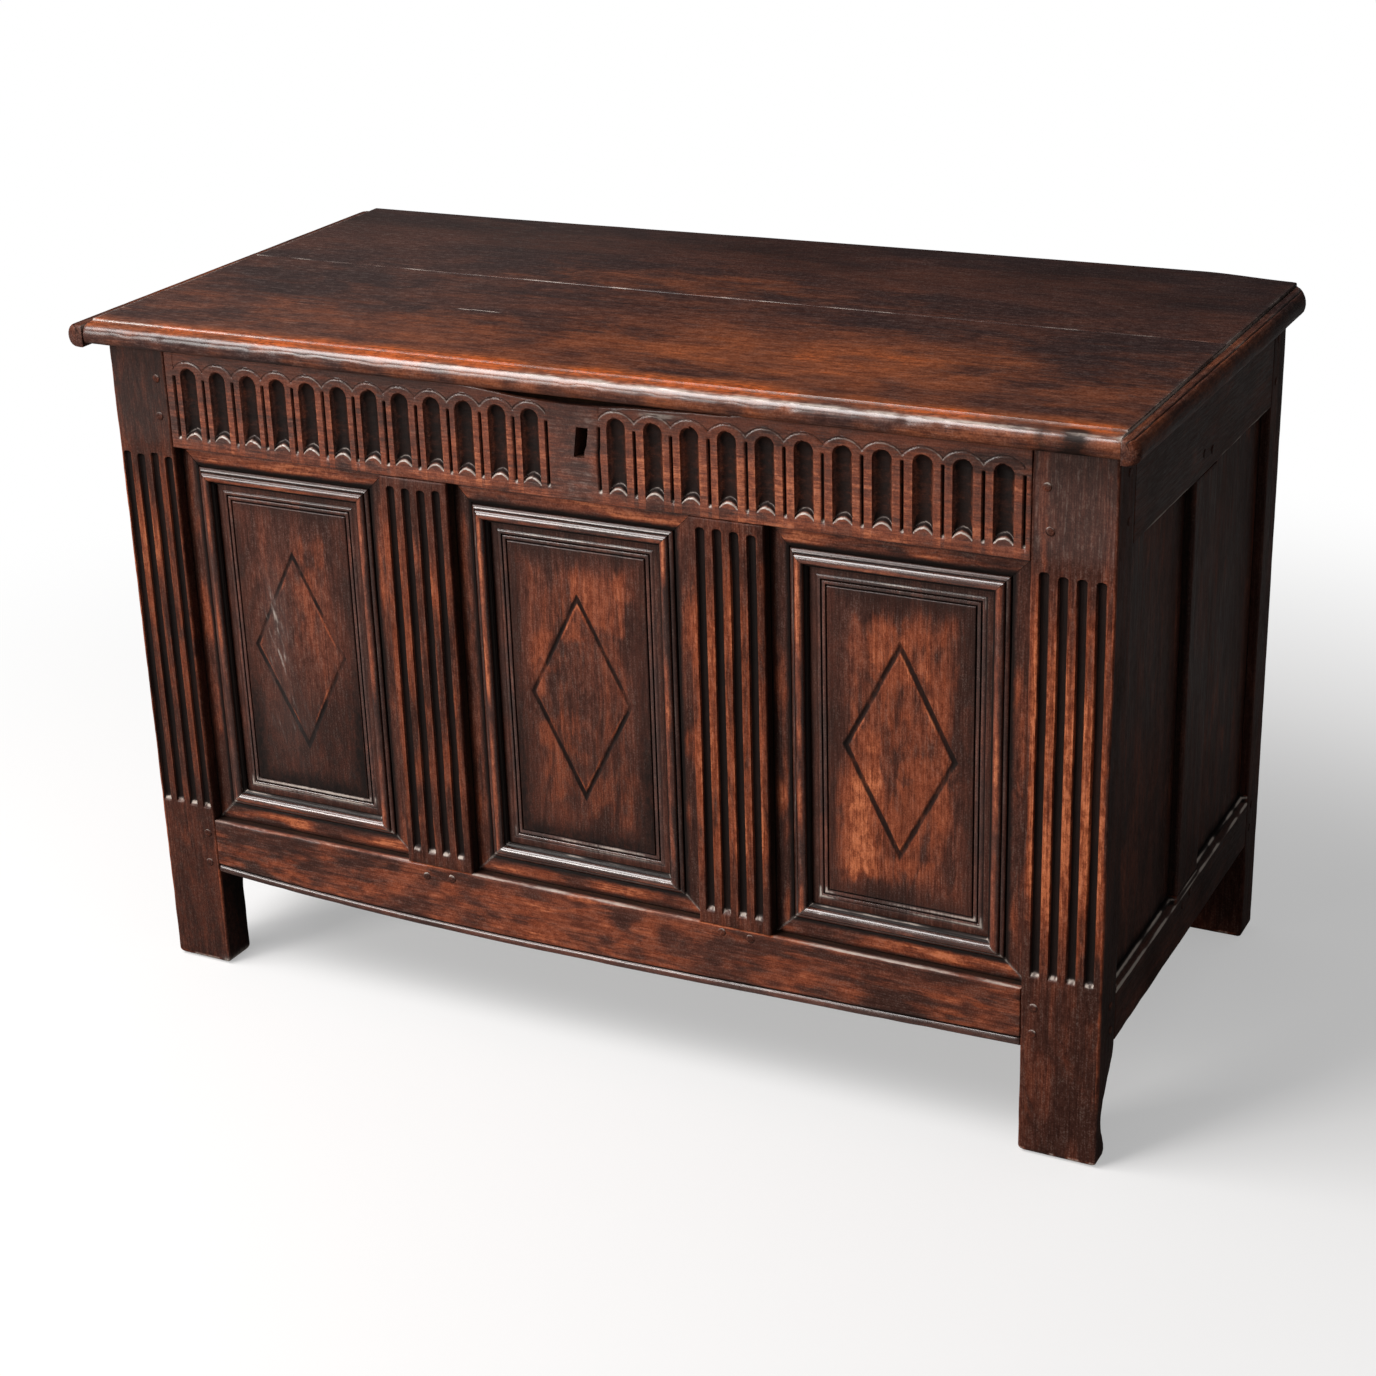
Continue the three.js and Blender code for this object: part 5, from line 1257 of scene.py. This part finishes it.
# The section of the front board's nosing, a thumb-nail with a fillet behind it, as (y, z).
NOSING = [(-23.6, 717.3), (-24.8, 718.1), (-26.1, 720.4), (-26.8, 723.5), (-27.0, 727.0), (-26.7, 729.8),
          (-25.9, 732.2), (-24.5, 734.2), (-22.6, 735.8), (-20.2, 736.9), (-17.0, 737.6), (-13.0, 738.0),
          (-9.2, 738.2), (-8.6, 738.0), (-8.0, 738.1), (-7.7, 739.0), (-7.3, 739.6), (-6.6, 739.7)]

# The section of a lid end, as (out, up): flat below, an ovolo, a quirk and a flat on top.
END_SECTION = np.array([
    (0.0, 0.5), (0.5, 0.0), (6.0, 0.0), (11.0, 0.3), (13.8, 1.6), (15.6, 3.8), (16.6, 6.8), (17.0, 10.2),
    (16.7, 13.6), (15.8, 16.8), (14.2, 19.6), (12.4, 21.6), (11.0, 22.4), (10.2, 22.3), (9.8, 21.3),
    (9.3, 21.1), (8.8, 21.4), (8.6, 22.6), (8.0, 22.95), (5.0, 23.0), (1.8, 23.0), (0.7, 22.7), (0.1, 21.9),
    (0.0, 20.5), (0.0, 10.0)])


class COFFER_OT_lid(bpy.types.Operator):
    """The lid: two boards with a thumb-nail nosing in front and a moulded strip on each end"""

    bl_idname = "coffer.lid"
    bl_label = "Lid"

    def execute(self, context):
        def flat(ys, z):
            return [(y, z) for y in ys]

        rounds = [(1.6, LID_TOP), (0.7, LID_TOP - 0.35), (0.15, LID_TOP - 1.2), (0.0, LID_TOP - 3.0),
                  (0.0, LID_LOW + 0.6), (0.6, LID_LOW)]
        joint = LID_JOINT - FIT
        crack_places = [158.2, 159, 159.6, 160.2, 160.8, 161.4, 162.2]
        top = flat(merged(np.arange(-4, joint - 3, 5.0), crack_places, gap=0.4), LID_TOP)
        under = flat(np.linspace(joint - 2, -16, 10), LID_LOW)
        self.lid_board("lid_board_front", NOSING + top + [(joint - y, z) for y, z in rounds] + under, 211)
        joint = LID_JOINT + FIT
        bend = np.linspace(0, math.pi / 2, 5)
        back = [(LID_BACK - 3 + 3 * math.sin(t), LID_TOP - 3 + 3 * math.cos(t)) for t in bend]
        back += [(LID_BACK - 3 + 3 * math.cos(t), LID_LOW + 3 - 3 * math.sin(t)) for t in bend]
        top = flat(np.arange(joint + 5, LID_BACK - 6, 6.0), LID_TOP)
        under = flat(np.linspace(LID_BACK - 5, joint + 2, 9), LID_LOW)
        self.lid_board("lid_board_back", [(joint + y, z) for y, z in rounds[::-1]] + top + back + under, 221)
        self.end_strip("left", -1)
        self.end_strip("right", 1)
        return {"FINISHED"}

    def lid_board(self, node, profile, seed):
        """A board: its section of (y, z) places, gone round once, is carried along x, drawn out to
        the splayed left end, dented along the nosing and, at the back, worn off at the corner."""
        left, right = LID_BOARD_ENDS
        profile = np.array(profile)
        x, y = np.meshgrid(span_places(left, right, 5.0, radius=1.2), profile[:, 0], indexing="ij")
        z = np.broadcast_to(profile[:, 1], x.shape)
        top, end = z > LID_TOP - 0.6, np.minimum(x - left, right - x)
        gap = 1.5 * hump(end, 0, 2.0) * (1 - ease(y, LID_FRONT + 12, LID_FRONT + 30))
        x = x + (right - x) / (right - left) * (lid_end_at(y, -1) + gap - left)
        upper = ease(z, LID_LOW + 8, LID_LOW + 12)
        wave = 0.5 * ripple(x * 0.3, y, 55, seed) + 0.16 * ripple(x * 0.2, y, 9, seed + 1)
        z = np.minimum(z + (wave - 0.5) * upper * 0.7 - worn_arris(end, 1.2) * upper, LID_TOP)
        crack = lid_scratch(x, y, seed, 0.8, 0.9) * top
        z = z - crack
        nose = 1 - ease(y, LID_FRONT + 8, LID_FRONT + 22)
        dents = unit(ripple(x, z * 2, 11, seed + 4) - 0.45) * 1.8 * nose
        z = z - dents * 0.5 * upper
        y = y + np.where(y < LID_FRONT + 18, dents, 0)
        if node == "lid_board_back":
            past = np.clip(x - (right + FIT + LID_END_WIDTH - LID_WORN_CORNER), 0, None)
            arc = np.sqrt(np.clip(LID_WORN_CORNER**2 - past**2, 0, None))
            y = np.minimum(y, LID_BACK - LID_WORN_CORNER + arc)
            reach = 4.0 + 14.0 * ease(x, 100, 850) - 17.0 * ease(x, 985, 1100)
            y = y + reach * unit((y - LID_JOINT - 2) / (LID_BACK - LID_JOINT - 2))
        maps = self.board_wear(x, y, z, seed, nose, crack, end)
        swept(node, np.stack([x, y, z], axis=-1), maps, "x", seed, "lid_oak", "lid", crisp=40)

    def board_wear(self, x, y, z, seed, nose, crack, end):
        """Worn along the nosing, whose crown shines and is made pale as painted highlight, pale in the
        joint, the crack and the seams at the ends, a painted highlight along the fillet, a painted sheen
        on the left of the top, darker to the back, and never stained below."""
        face, upper, on_top = nose * (y < LID_FRONT + 4), ease(z, LID_LOW + 12, LID_LOW + 18), z > LID_TOP - 3
        mottle = unit(0.5 + 0.7 * ripple(x, z * 2, 18, seed + 8))
        rub = lid_rub(x, y) * ease(z, LID_LOW + 1, LID_LOW + 10) * (1 - face)
        rub = rub + face * (0.1 + 0.18 * ease(x, 100, 500) + 0.26 * mottle) + 0.12 * hump(z, LID_TOP - 5, 4) * nose
        line_breakup = 0.55 + 0.45 * ripple(x, y, 35, seed + 6)
        dust = 0.8 * hump(y, LID_JOINT, 1.7) * upper * unit(0.35 + 0.75 * ripple(x, 0, 25, seed + 5))
        dust = dust + (0.75 * hump(end, 0, 1.3) * upper + 0.9 * crack) * line_breakup
        # Painted highlight: a pale line along the fillet behind the nosing.
        fillet = hump(y, -7.9, 0.8) * upper * (0.15 + 0.85 * np.maximum(ease(x, 620, 860), 1 - ease(x, 100, 330)))
        dust = dust + 0.5 * fillet * line_breakup
        mid_run = ease(x, 120, 460)
        # Painted highlight: the nosing's crown is made pale along its length.
        glare = hump(z, LID_TOP - 4.4, 1.5) * nose * (y < LID_FRONT + 11)
        broken = unit(0.2 + 0.8 * hump(x, 800, 360) + 0.5 * ripple(x, 0, 26, seed + 9))
        dust = dust + 0.75 * glare * broken * (0.5 + 0.5 * mid_run)
        # A painted sheen makes the top paler towards the left; the crack's line is pale as well.
        dust = dust + (0.2 * (1 - ease(x, 200, 560)) * (1 - nose) + 0.7 * lid_scratch(x, y, seed, 1.3, 1.0)) * on_top
        polish = (0.5 + 0.4 * mid_run) * hump(z, LID_TOP - 4.4, 3.6) * nose * (y < LID_FRONT + 14)
        stain = hump(x, 1052, 16) * hump(y, LID_FRONT + 6, 12) + 0.6 * hump(x, 1022, 8) * hump(y, LID_FRONT + 4, 8)
        flecks = unit(ripple(x + 1.5 * y, 3 * y, 24, seed + 10) - 0.5) * hump(x, 560, 240) * hump(y, 120, 80)
        back_dark = 1.8 * flecks + 0.42 * ease(y, 310, 500) + 0.16 * ease(x, 850, 1080) * ease(y, 220, 420)
        grime = 0.95 * stain * nose + 0.3 * (1 - ease(z, LID_LOW + 0.2, LID_LOW + 3))
        grime = grime + back_dark * (0.6 + 0.4 * ripple(x, y, 80, seed + 7))
        dry = (z < LID_LOW + 1) * ease(y, -14, -4)
        return {"rub": rub, "grime": grime, "dust": dust, "polish": 0.1 + polish + 0.6 * fillet, "dry": dry}

    def end_strip(self, where, side):
        """A strip along y: its section is carried back, and its reach out is drawn in where the
        lid's corners are round."""
        rounded = np.array([0.0, 0.3, 1.0, 2.2, 4.0, 6.0, 8.0])
        ys = merged(LID_FRONT + rounded, LID_BACK - rounded, LID_BACK - np.array([5.2, 7, 10, 14, 19, 26, 34]),
                    np.arange(LID_FRONT, LID_BACK, 5.0))
        y, out = np.meshgrid(ys, END_SECTION[:, 0], indexing="ij")
        up = np.broadcast_to(END_SECTION[:, 1], y.shape)
        width, longer = (LID_END_WIDTH, -5.0) if side > 0 else (LID_LEFT_WIDTH, 7.0)
        y = LID_FRONT + (y - LID_FRONT) * (1 + longer / (LID_BACK - LID_FRONT))
        radius = np.where((side > 0) & (y > DEPTH / 2), LID_WORN_CORNER, LID_CORNER)
        drawn_in = worn_arris(np.minimum(y - LID_FRONT, LID_BACK - y), radius)
        reach = np.clip(1 - drawn_in / LID_END_WIDTH, 0.04, 1) * width / LID_END_WIDTH
        seed = 231 + side
        wear_in = 0.5 * ripple(y, up, 30, seed) + 0.9 * unit(ripple(y, up, 12, seed + 1) - 0.4)
        out = out * reach - unit(wear_in) * (out > 8)
        up = up - 0.7 * worn_arris(np.minimum(y - LID_FRONT, ys[-1] - y), 3.0) * (up > 12)
        rings = np.stack([lid_end_at(y, side) + side * (FIT + out), y, LID_END_LOW + up], axis=-1)
        streak = 0.5 + 0.5 * ripple(y, up * 4, 40, seed + 2)
        dust = 0.85 * hump(out, 0.3, 0.8) * (up > 18) * (0.4 + 0.6 * streak)
        maps = {"rub": (0.3 + 0.35 * hump(up, 21, 5) * streak) * (1 - 0.45 * ease(y, 150, 500)),
                "grime": 0.8 * hump(out, 9.4 * reach, 0.7) * (up > 18) + 0.25 * (1 - ease(up, 0, 4)),
                "dust": dust + 0.75 * hump(out, 8.5 * reach, 0.6) * (up > 20) * streak}
        swept(f"lid_end_{where}", rings, maps, "y", seed, "lid_oak", "lid", crisp=55)


# Small fasteners, as (x, z) in the plane of their side

FRONT_PEGS = ((1020.5, 677.8), (1024.2, 637.1), (1019.5, 161.3), (1019.1, 133.0), (58.7, 162.3), (56.9, 126.2),
              (344.4, 166.1), (375.6, 168.8), (692.2, 173.0), (723.1, 171.7), (57.5, 680.0), (56.5, 640.0))
END_PEGS = ((28.0, 690.0), (30.0, 645.0), (29.0, 163.0), (31.0, 136.0), (521.0, 688.0), (520.0, 643.0),
            (522.0, 162.0), (519.0, 135.0), (262.0, 640.0), (290.0, 636.0), (263.0, 160.0), (288.0, 163.0))
BACK_PEGS = ((55.0, 690.0), (57.0, 650.0), (56.0, 166.0), (54.0, 134.0), (1040.0, 690.0), (1042.0, 648.0),
             (1041.0, 165.0), (1039.0, 136.0))
# Nails of a hinge: those of its leaf as (across from its middle, z), those of its strap as (across, y).
LEAF_NAILS = ((-9, 690.0), (9, 684.0), (-6, 655.0), (5, 632.0), (0, 612.0))
STRAP_NAILS = ((-8, 530.0), (9, 505.0), (-7, 460.0), (6, 405.0), (0, 352.0))
LOCK_NAILS = ((-48, 651.0), (48, 652.0), (-48, 702.0), (48, 703.0))
LEAF_FACE, PEG_FACE = -3.3, 0.15


def round_heads(places, radius, rise, seed, sides=12):
    """Heads on a face: rings of uneven circles, from under the face up to a shallow dome.

    Each ring has a share of the radius and stands proud by a share of the rise.
    """
    rng = np.random.default_rng(seed)
    angle = np.arange(sides) * 2 * math.pi / sides
    shares = ((1.0, -1.0), (1.0, 0.45), (0.86, 0.85), (0.5, 1.0), (0.12, 1.05))
    points, quads, caps = [], [], []
    for x, y, z in places:
        lumps = 1 + 0.07 * ripple(np.cos(angle) * 3, np.sin(angle) * 3, 2.0, int(rng.integers(1000)))
        tilt = rng.uniform(-0.12, 0.12, 2)
        start = len(points) * sides
        quads.append(quads_of(len(shares), sides, closed=True) + start)
        caps += [start + np.arange(sides)[::-1], start + (len(shares) - 1) * sides + np.arange(sides)]
        for width, height in shares:
            ring_x = radius * width * lumps * np.cos(angle)
            ring_z = radius * width * lumps * np.sin(angle)
            lift = rise * height + (tilt[0] * ring_x + tilt[1] * ring_z) * 0.5 * (height > 0)
            points.append(np.stack([x + ring_x, y - lift, z + ring_z], axis=-1))
    return np.concatenate(points), [np.concatenate(quads), np.array(caps)]


class COFFER_OT_fasteners(bpy.types.Operator):
    """The peg heads of the joints, and the nails of the hinges and the lock"""

    bl_idname = "coffer.fasteners"
    bl_label = "Pegs and nails"

    def execute(self, context):
        groups = {"front": FRONT_PEGS, "right": END_PEGS, "left": END_PEGS, "back": BACK_PEGS}
        for seed, (side, places) in enumerate(groups.items(), 301):
            points, faces = round_heads([(x, PEG_FACE, z) for x, z in places], millimetres("peg_radius"),
                                        millimetres("peg_rise"), seed, 14)
            height = -points[:, 1]
            top = ease(height, -0.3, 0.7)
            centre = np.repeat([z for _, z in places], len(points) // len(places))
            # Painted highlight: the upper half of each head's rim is made pale and loses its grime.
            highlight_crescent = ease(points[:, 2] - centre, 0.5, 3.0) * (1 - ease(height, 0.55, 0.8))
            wear = {"rub": 0.15 * top, "grime": 0.8 * (1 - top) + 0.15 - highlight_crescent,
                    "dust": 0.6 * highlight_crescent * (side == "front")}
            add_piece(f"pegs_{side}", points, faces, wear, "y", seed,
                      "dry_oak_y" if side == "back" else "stained_oak", side=side, own_node=False, crisp=60)
        leaf = [(WIDTH - hinge + x, LEAF_FACE, z) for hinge in HINGE_PLACES for x, z in LEAF_NAILS]
        strap = [(hinge + x, STRAP_LOW, y) for hinge in HINGE_PLACES for x, y in STRAP_NAILS]
        lock = [(WIDTH - KEY_MIDDLE - x, 0.0, z) for x, z in LOCK_NAILS]
        radius = millimetres("nail_radius")
        points, faces = round_heads(leaf, radius, 1.5, 311)
        self.nails("hinge_nails_back", to_side(points, "back"), faces, "carcass")
        points, faces = round_heads(strap, radius, 1.4, 312)
        self.nails("hinge_nails_under", points[:, [0, 2, 1]], faces, "lid")
        points, faces = round_heads(lock, radius * 0.8, 1.3, 313)
        self.nails("lock_nails", to_side(points, "back") - (0, DEPTH - LOCK_BACK, 0), faces, "carcass")
        return {"FINISHED"}

    def nails(self, name, points, faces, body):
        add_piece(name, points, faces, {}, "x", 1, "forged_iron", body, own_node=False, crisp=60)


class COFFER_OT_ironwork(bpy.types.Operator):
    """The finish of the hinges, the lock, the floor boards and the back rail that the frame holds"""

    bl_idname = "coffer.ironwork"
    bl_label = "Ironwork and floor"

    def execute(self, context):
        looks = {"hinge": ("forged_iron", 0.0005), "lock": ("forged_iron", 0.0005), "floor": ("dry_oak_y", 0.0008)}
        for name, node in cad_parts.items():
            if not node.hide_render:
                self.dress(node, *looks.get(name.split("_")[0], ("dry_oak_x", 0.001)))
        return {"FINISHED"}

    def dress(self, node, finish, width):
        """Gives a frame piece its finish, joins its loose triangles and eases its edges."""
        node.data.materials.clear()
        node.data.materials.append(finish_named(finish))
        node.modifiers.new("weld", "WELD").merge_threshold = 1e-6
        bevel = node.modifiers.new("ease", "BEVEL")
        bevel.width, bevel.segments = width, 2
        bevel.limit_method, bevel.angle_limit = "ANGLE", math.radians(35)


# The stage

CAMERA_PLACE = (1716.5, -2024.7, 1371.0)
CAMERA_TURN = (27.497, 22.364, -1.836)
CAMERA_LENS, SENSOR_WIDTH = 66.907, 36.0
WHITE = (1.0, 1.0, 1.0, 1.0)
FLOOR_REACH = 14.0


def shot(turn):
    """The camera's axes as a matrix: azimuth round z from -y, elevation, and a roll about the view."""
    azimuth, elevation, roll = (math.radians(v) for v in turn)
    level_out = math.cos(elevation)
    back = Vector((math.sin(azimuth) * level_out, -math.cos(azimuth) * level_out, math.sin(elevation)))
    level = (-back).cross(Vector((0, 0, 1))).normalized()
    upright = level.cross(-back)
    right = math.cos(roll) * level + math.sin(roll) * upright
    up = math.cos(roll) * upright - math.sin(roll) * level
    return Matrix((right, up, back)).transposed()


class COFFER_OT_stage(bpy.types.Operator):
    """The camera, the soft lamps, the pale floor and the world"""

    bl_idname = "coffer.stage"
    bl_label = "Camera, lamps and floor"

    def execute(self, context):
        scene = context.scene
        scene.view_settings.view_transform = "Standard"
        camera = bpy.data.objects.new("camera", bpy.data.cameras.new("camera"))
        camera.data.lens, camera.data.sensor_width, camera.data.clip_end = CAMERA_LENS, SENSOR_WIDTH, 100.0
        place = Vector((np.array(CAMERA_PLACE) + PLAN_SHIFT) * MM)
        camera.matrix_world = Matrix.Translation(place) @ shot(CAMERA_TURN).to_4x4()
        scene.collection.objects.link(camera)
        scene.camera = camera
        self.lamp("key_lamp", (-1.5, -1.55, 3.2), (2.7, 2.0), 128.0, (1.0, 0.98, 0.97))
        self.lamp("front_lamp", (-4.1, -6.0, 2.1), (2.5, 2.5), 330.0, (1.0, 0.97, 0.94))
        self.floor(scene)
        self.world(scene)
        return {"FINISHED"}

    def lamp(self, name, place, size, power, colour):
        data = bpy.data.lights.new(name, "AREA")
        data.shape = "RECTANGLE"
        (data.size, data.size_y), data.energy, data.color = size, power, colour
        lamp = bpy.data.objects.new(name, data)
        lamp.location = place
        aim = Vector((0.0, 0.0, 0.4)) - Vector(place)
        lamp.rotation_euler = aim.to_track_quat("-Z", "Y").to_euler()
        bpy.context.scene.collection.objects.link(lamp)

    def rays(self, paint):
        """Whether a ray comes from the camera or through glass, and whether it is a reflection."""
        kinds = ("Is Camera Ray", "Is Transmission Ray", "Is Glossy Ray")
        camera, glass, gloss = (paint.add("ShaderNodeLightPath", out=kind) for kind in kinds)
        return camera.most(glass), gloss

    def floor(self, scene):
        """A pale floor that keeps the shadow near the chest and fades to white around it."""
        paint = Paint(bpy.data.materials.new("pale_floor"))
        seen, gloss = self.rays(paint)
        place = paint.add("ShaderNodeTexCoord", out="Object")
        away = paint.add("ShaderNodeVectorMath", {0: place}, out="Value", operation="LENGTH")
        colour = paint.mixed(seen.most(gloss * 0.12), (0.15, 0.145, 0.14), (0.9, 0.9, 0.9))
        lit = paint.add("ShaderNodeBsdfDiffuse", {"Color": colour})
        white = paint.add("ShaderNodeEmission", {"Color": WHITE})
        fade = seen * (away.from_to(0.75, 1.9) * 0.62 + 0.38)
        shader = paint.add("ShaderNodeMixShader", {0: fade, 1: lit, 2: white})
        paint.add("ShaderNodeOutputMaterial", {"Surface": shader})
        mesh = bpy.data.meshes.new("floor")
        corners = [(x * FLOOR_REACH, y * FLOOR_REACH, 0) for x, y in ((-1, -1), (1, -1), (1, 1), (-1, 1))]
        mesh.from_pydata(corners, [], [(0, 1, 2, 3)])
        mesh.materials.append(paint.owner)
        floor = bpy.data.objects.new("floor", mesh)
        scene.collection.objects.link(floor)
        floor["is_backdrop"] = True

    def world(self, scene):
        """White to the camera, and dim to the timber and its reflections."""
        scene.world = bpy.data.worlds.new("studio")
        paint = Paint(scene.world)
        seen, gloss = self.rays(paint)
        strength = seen * 0.81 + 0.19 - gloss * 0.15
        light = paint.add("ShaderNodeBackground", {"Color": WHITE, "Strength": strength})
        paint.add("ShaderNodeOutputWorld", {"Surface": light})


class COFFER_PT_panel(bpy.types.Panel):
    """Lists the steps that build the chest"""

    bl_label = "Oak Coffer"
    bl_idname = "COFFER_PT_panel"
    bl_space_type = "VIEW_3D"
    bl_region_type = "UI"
    bl_category = "Coffer"

    def draw(self, context):
        for step in STEPS:
            self.layout.operator(step.bl_idname, text=step.bl_label)
        for group in (context.scene.coffer_colours, context.scene.coffer_sizes):
            for key in group.__annotations__:
                self.layout.prop(group, key)


STEPS = (COFFER_OT_stage, COFFER_OT_posts, COFFER_OT_frieze, COFFER_OT_bottom_rail, COFFER_OT_muntins,
         COFFER_OT_front_panels, COFFER_OT_mouldings, COFFER_OT_ends, COFFER_OT_back, COFFER_OT_lid,
         COFFER_OT_fasteners, COFFER_OT_ironwork)
CLASSES = (CofferColours, CofferSizes, *STEPS, COFFER_PT_panel)


def register():
    for cls in CLASSES:
        bpy.utils.register_class(cls)
    bpy.types.Scene.coffer_colours = bpy.props.PointerProperty(type=CofferColours)
    bpy.types.Scene.coffer_sizes = bpy.props.PointerProperty(type=CofferSizes)


def unregister():
    del bpy.types.Scene.coffer_sizes
    del bpy.types.Scene.coffer_colours
    for cls in reversed(CLASSES):
        bpy.utils.unregister_class(cls)


def main():
    register()
    for step in STEPS:
        group, action = step.bl_idname.split(".")
        getattr(getattr(bpy.ops, group), action)()
    boxes = {"cad": CAD_BOX, "visual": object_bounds()}
    plain = {key: [[float(v) for v in corner] for corner in box] for key, box in boxes.items()}


if __name__ == "__main__":
    main()
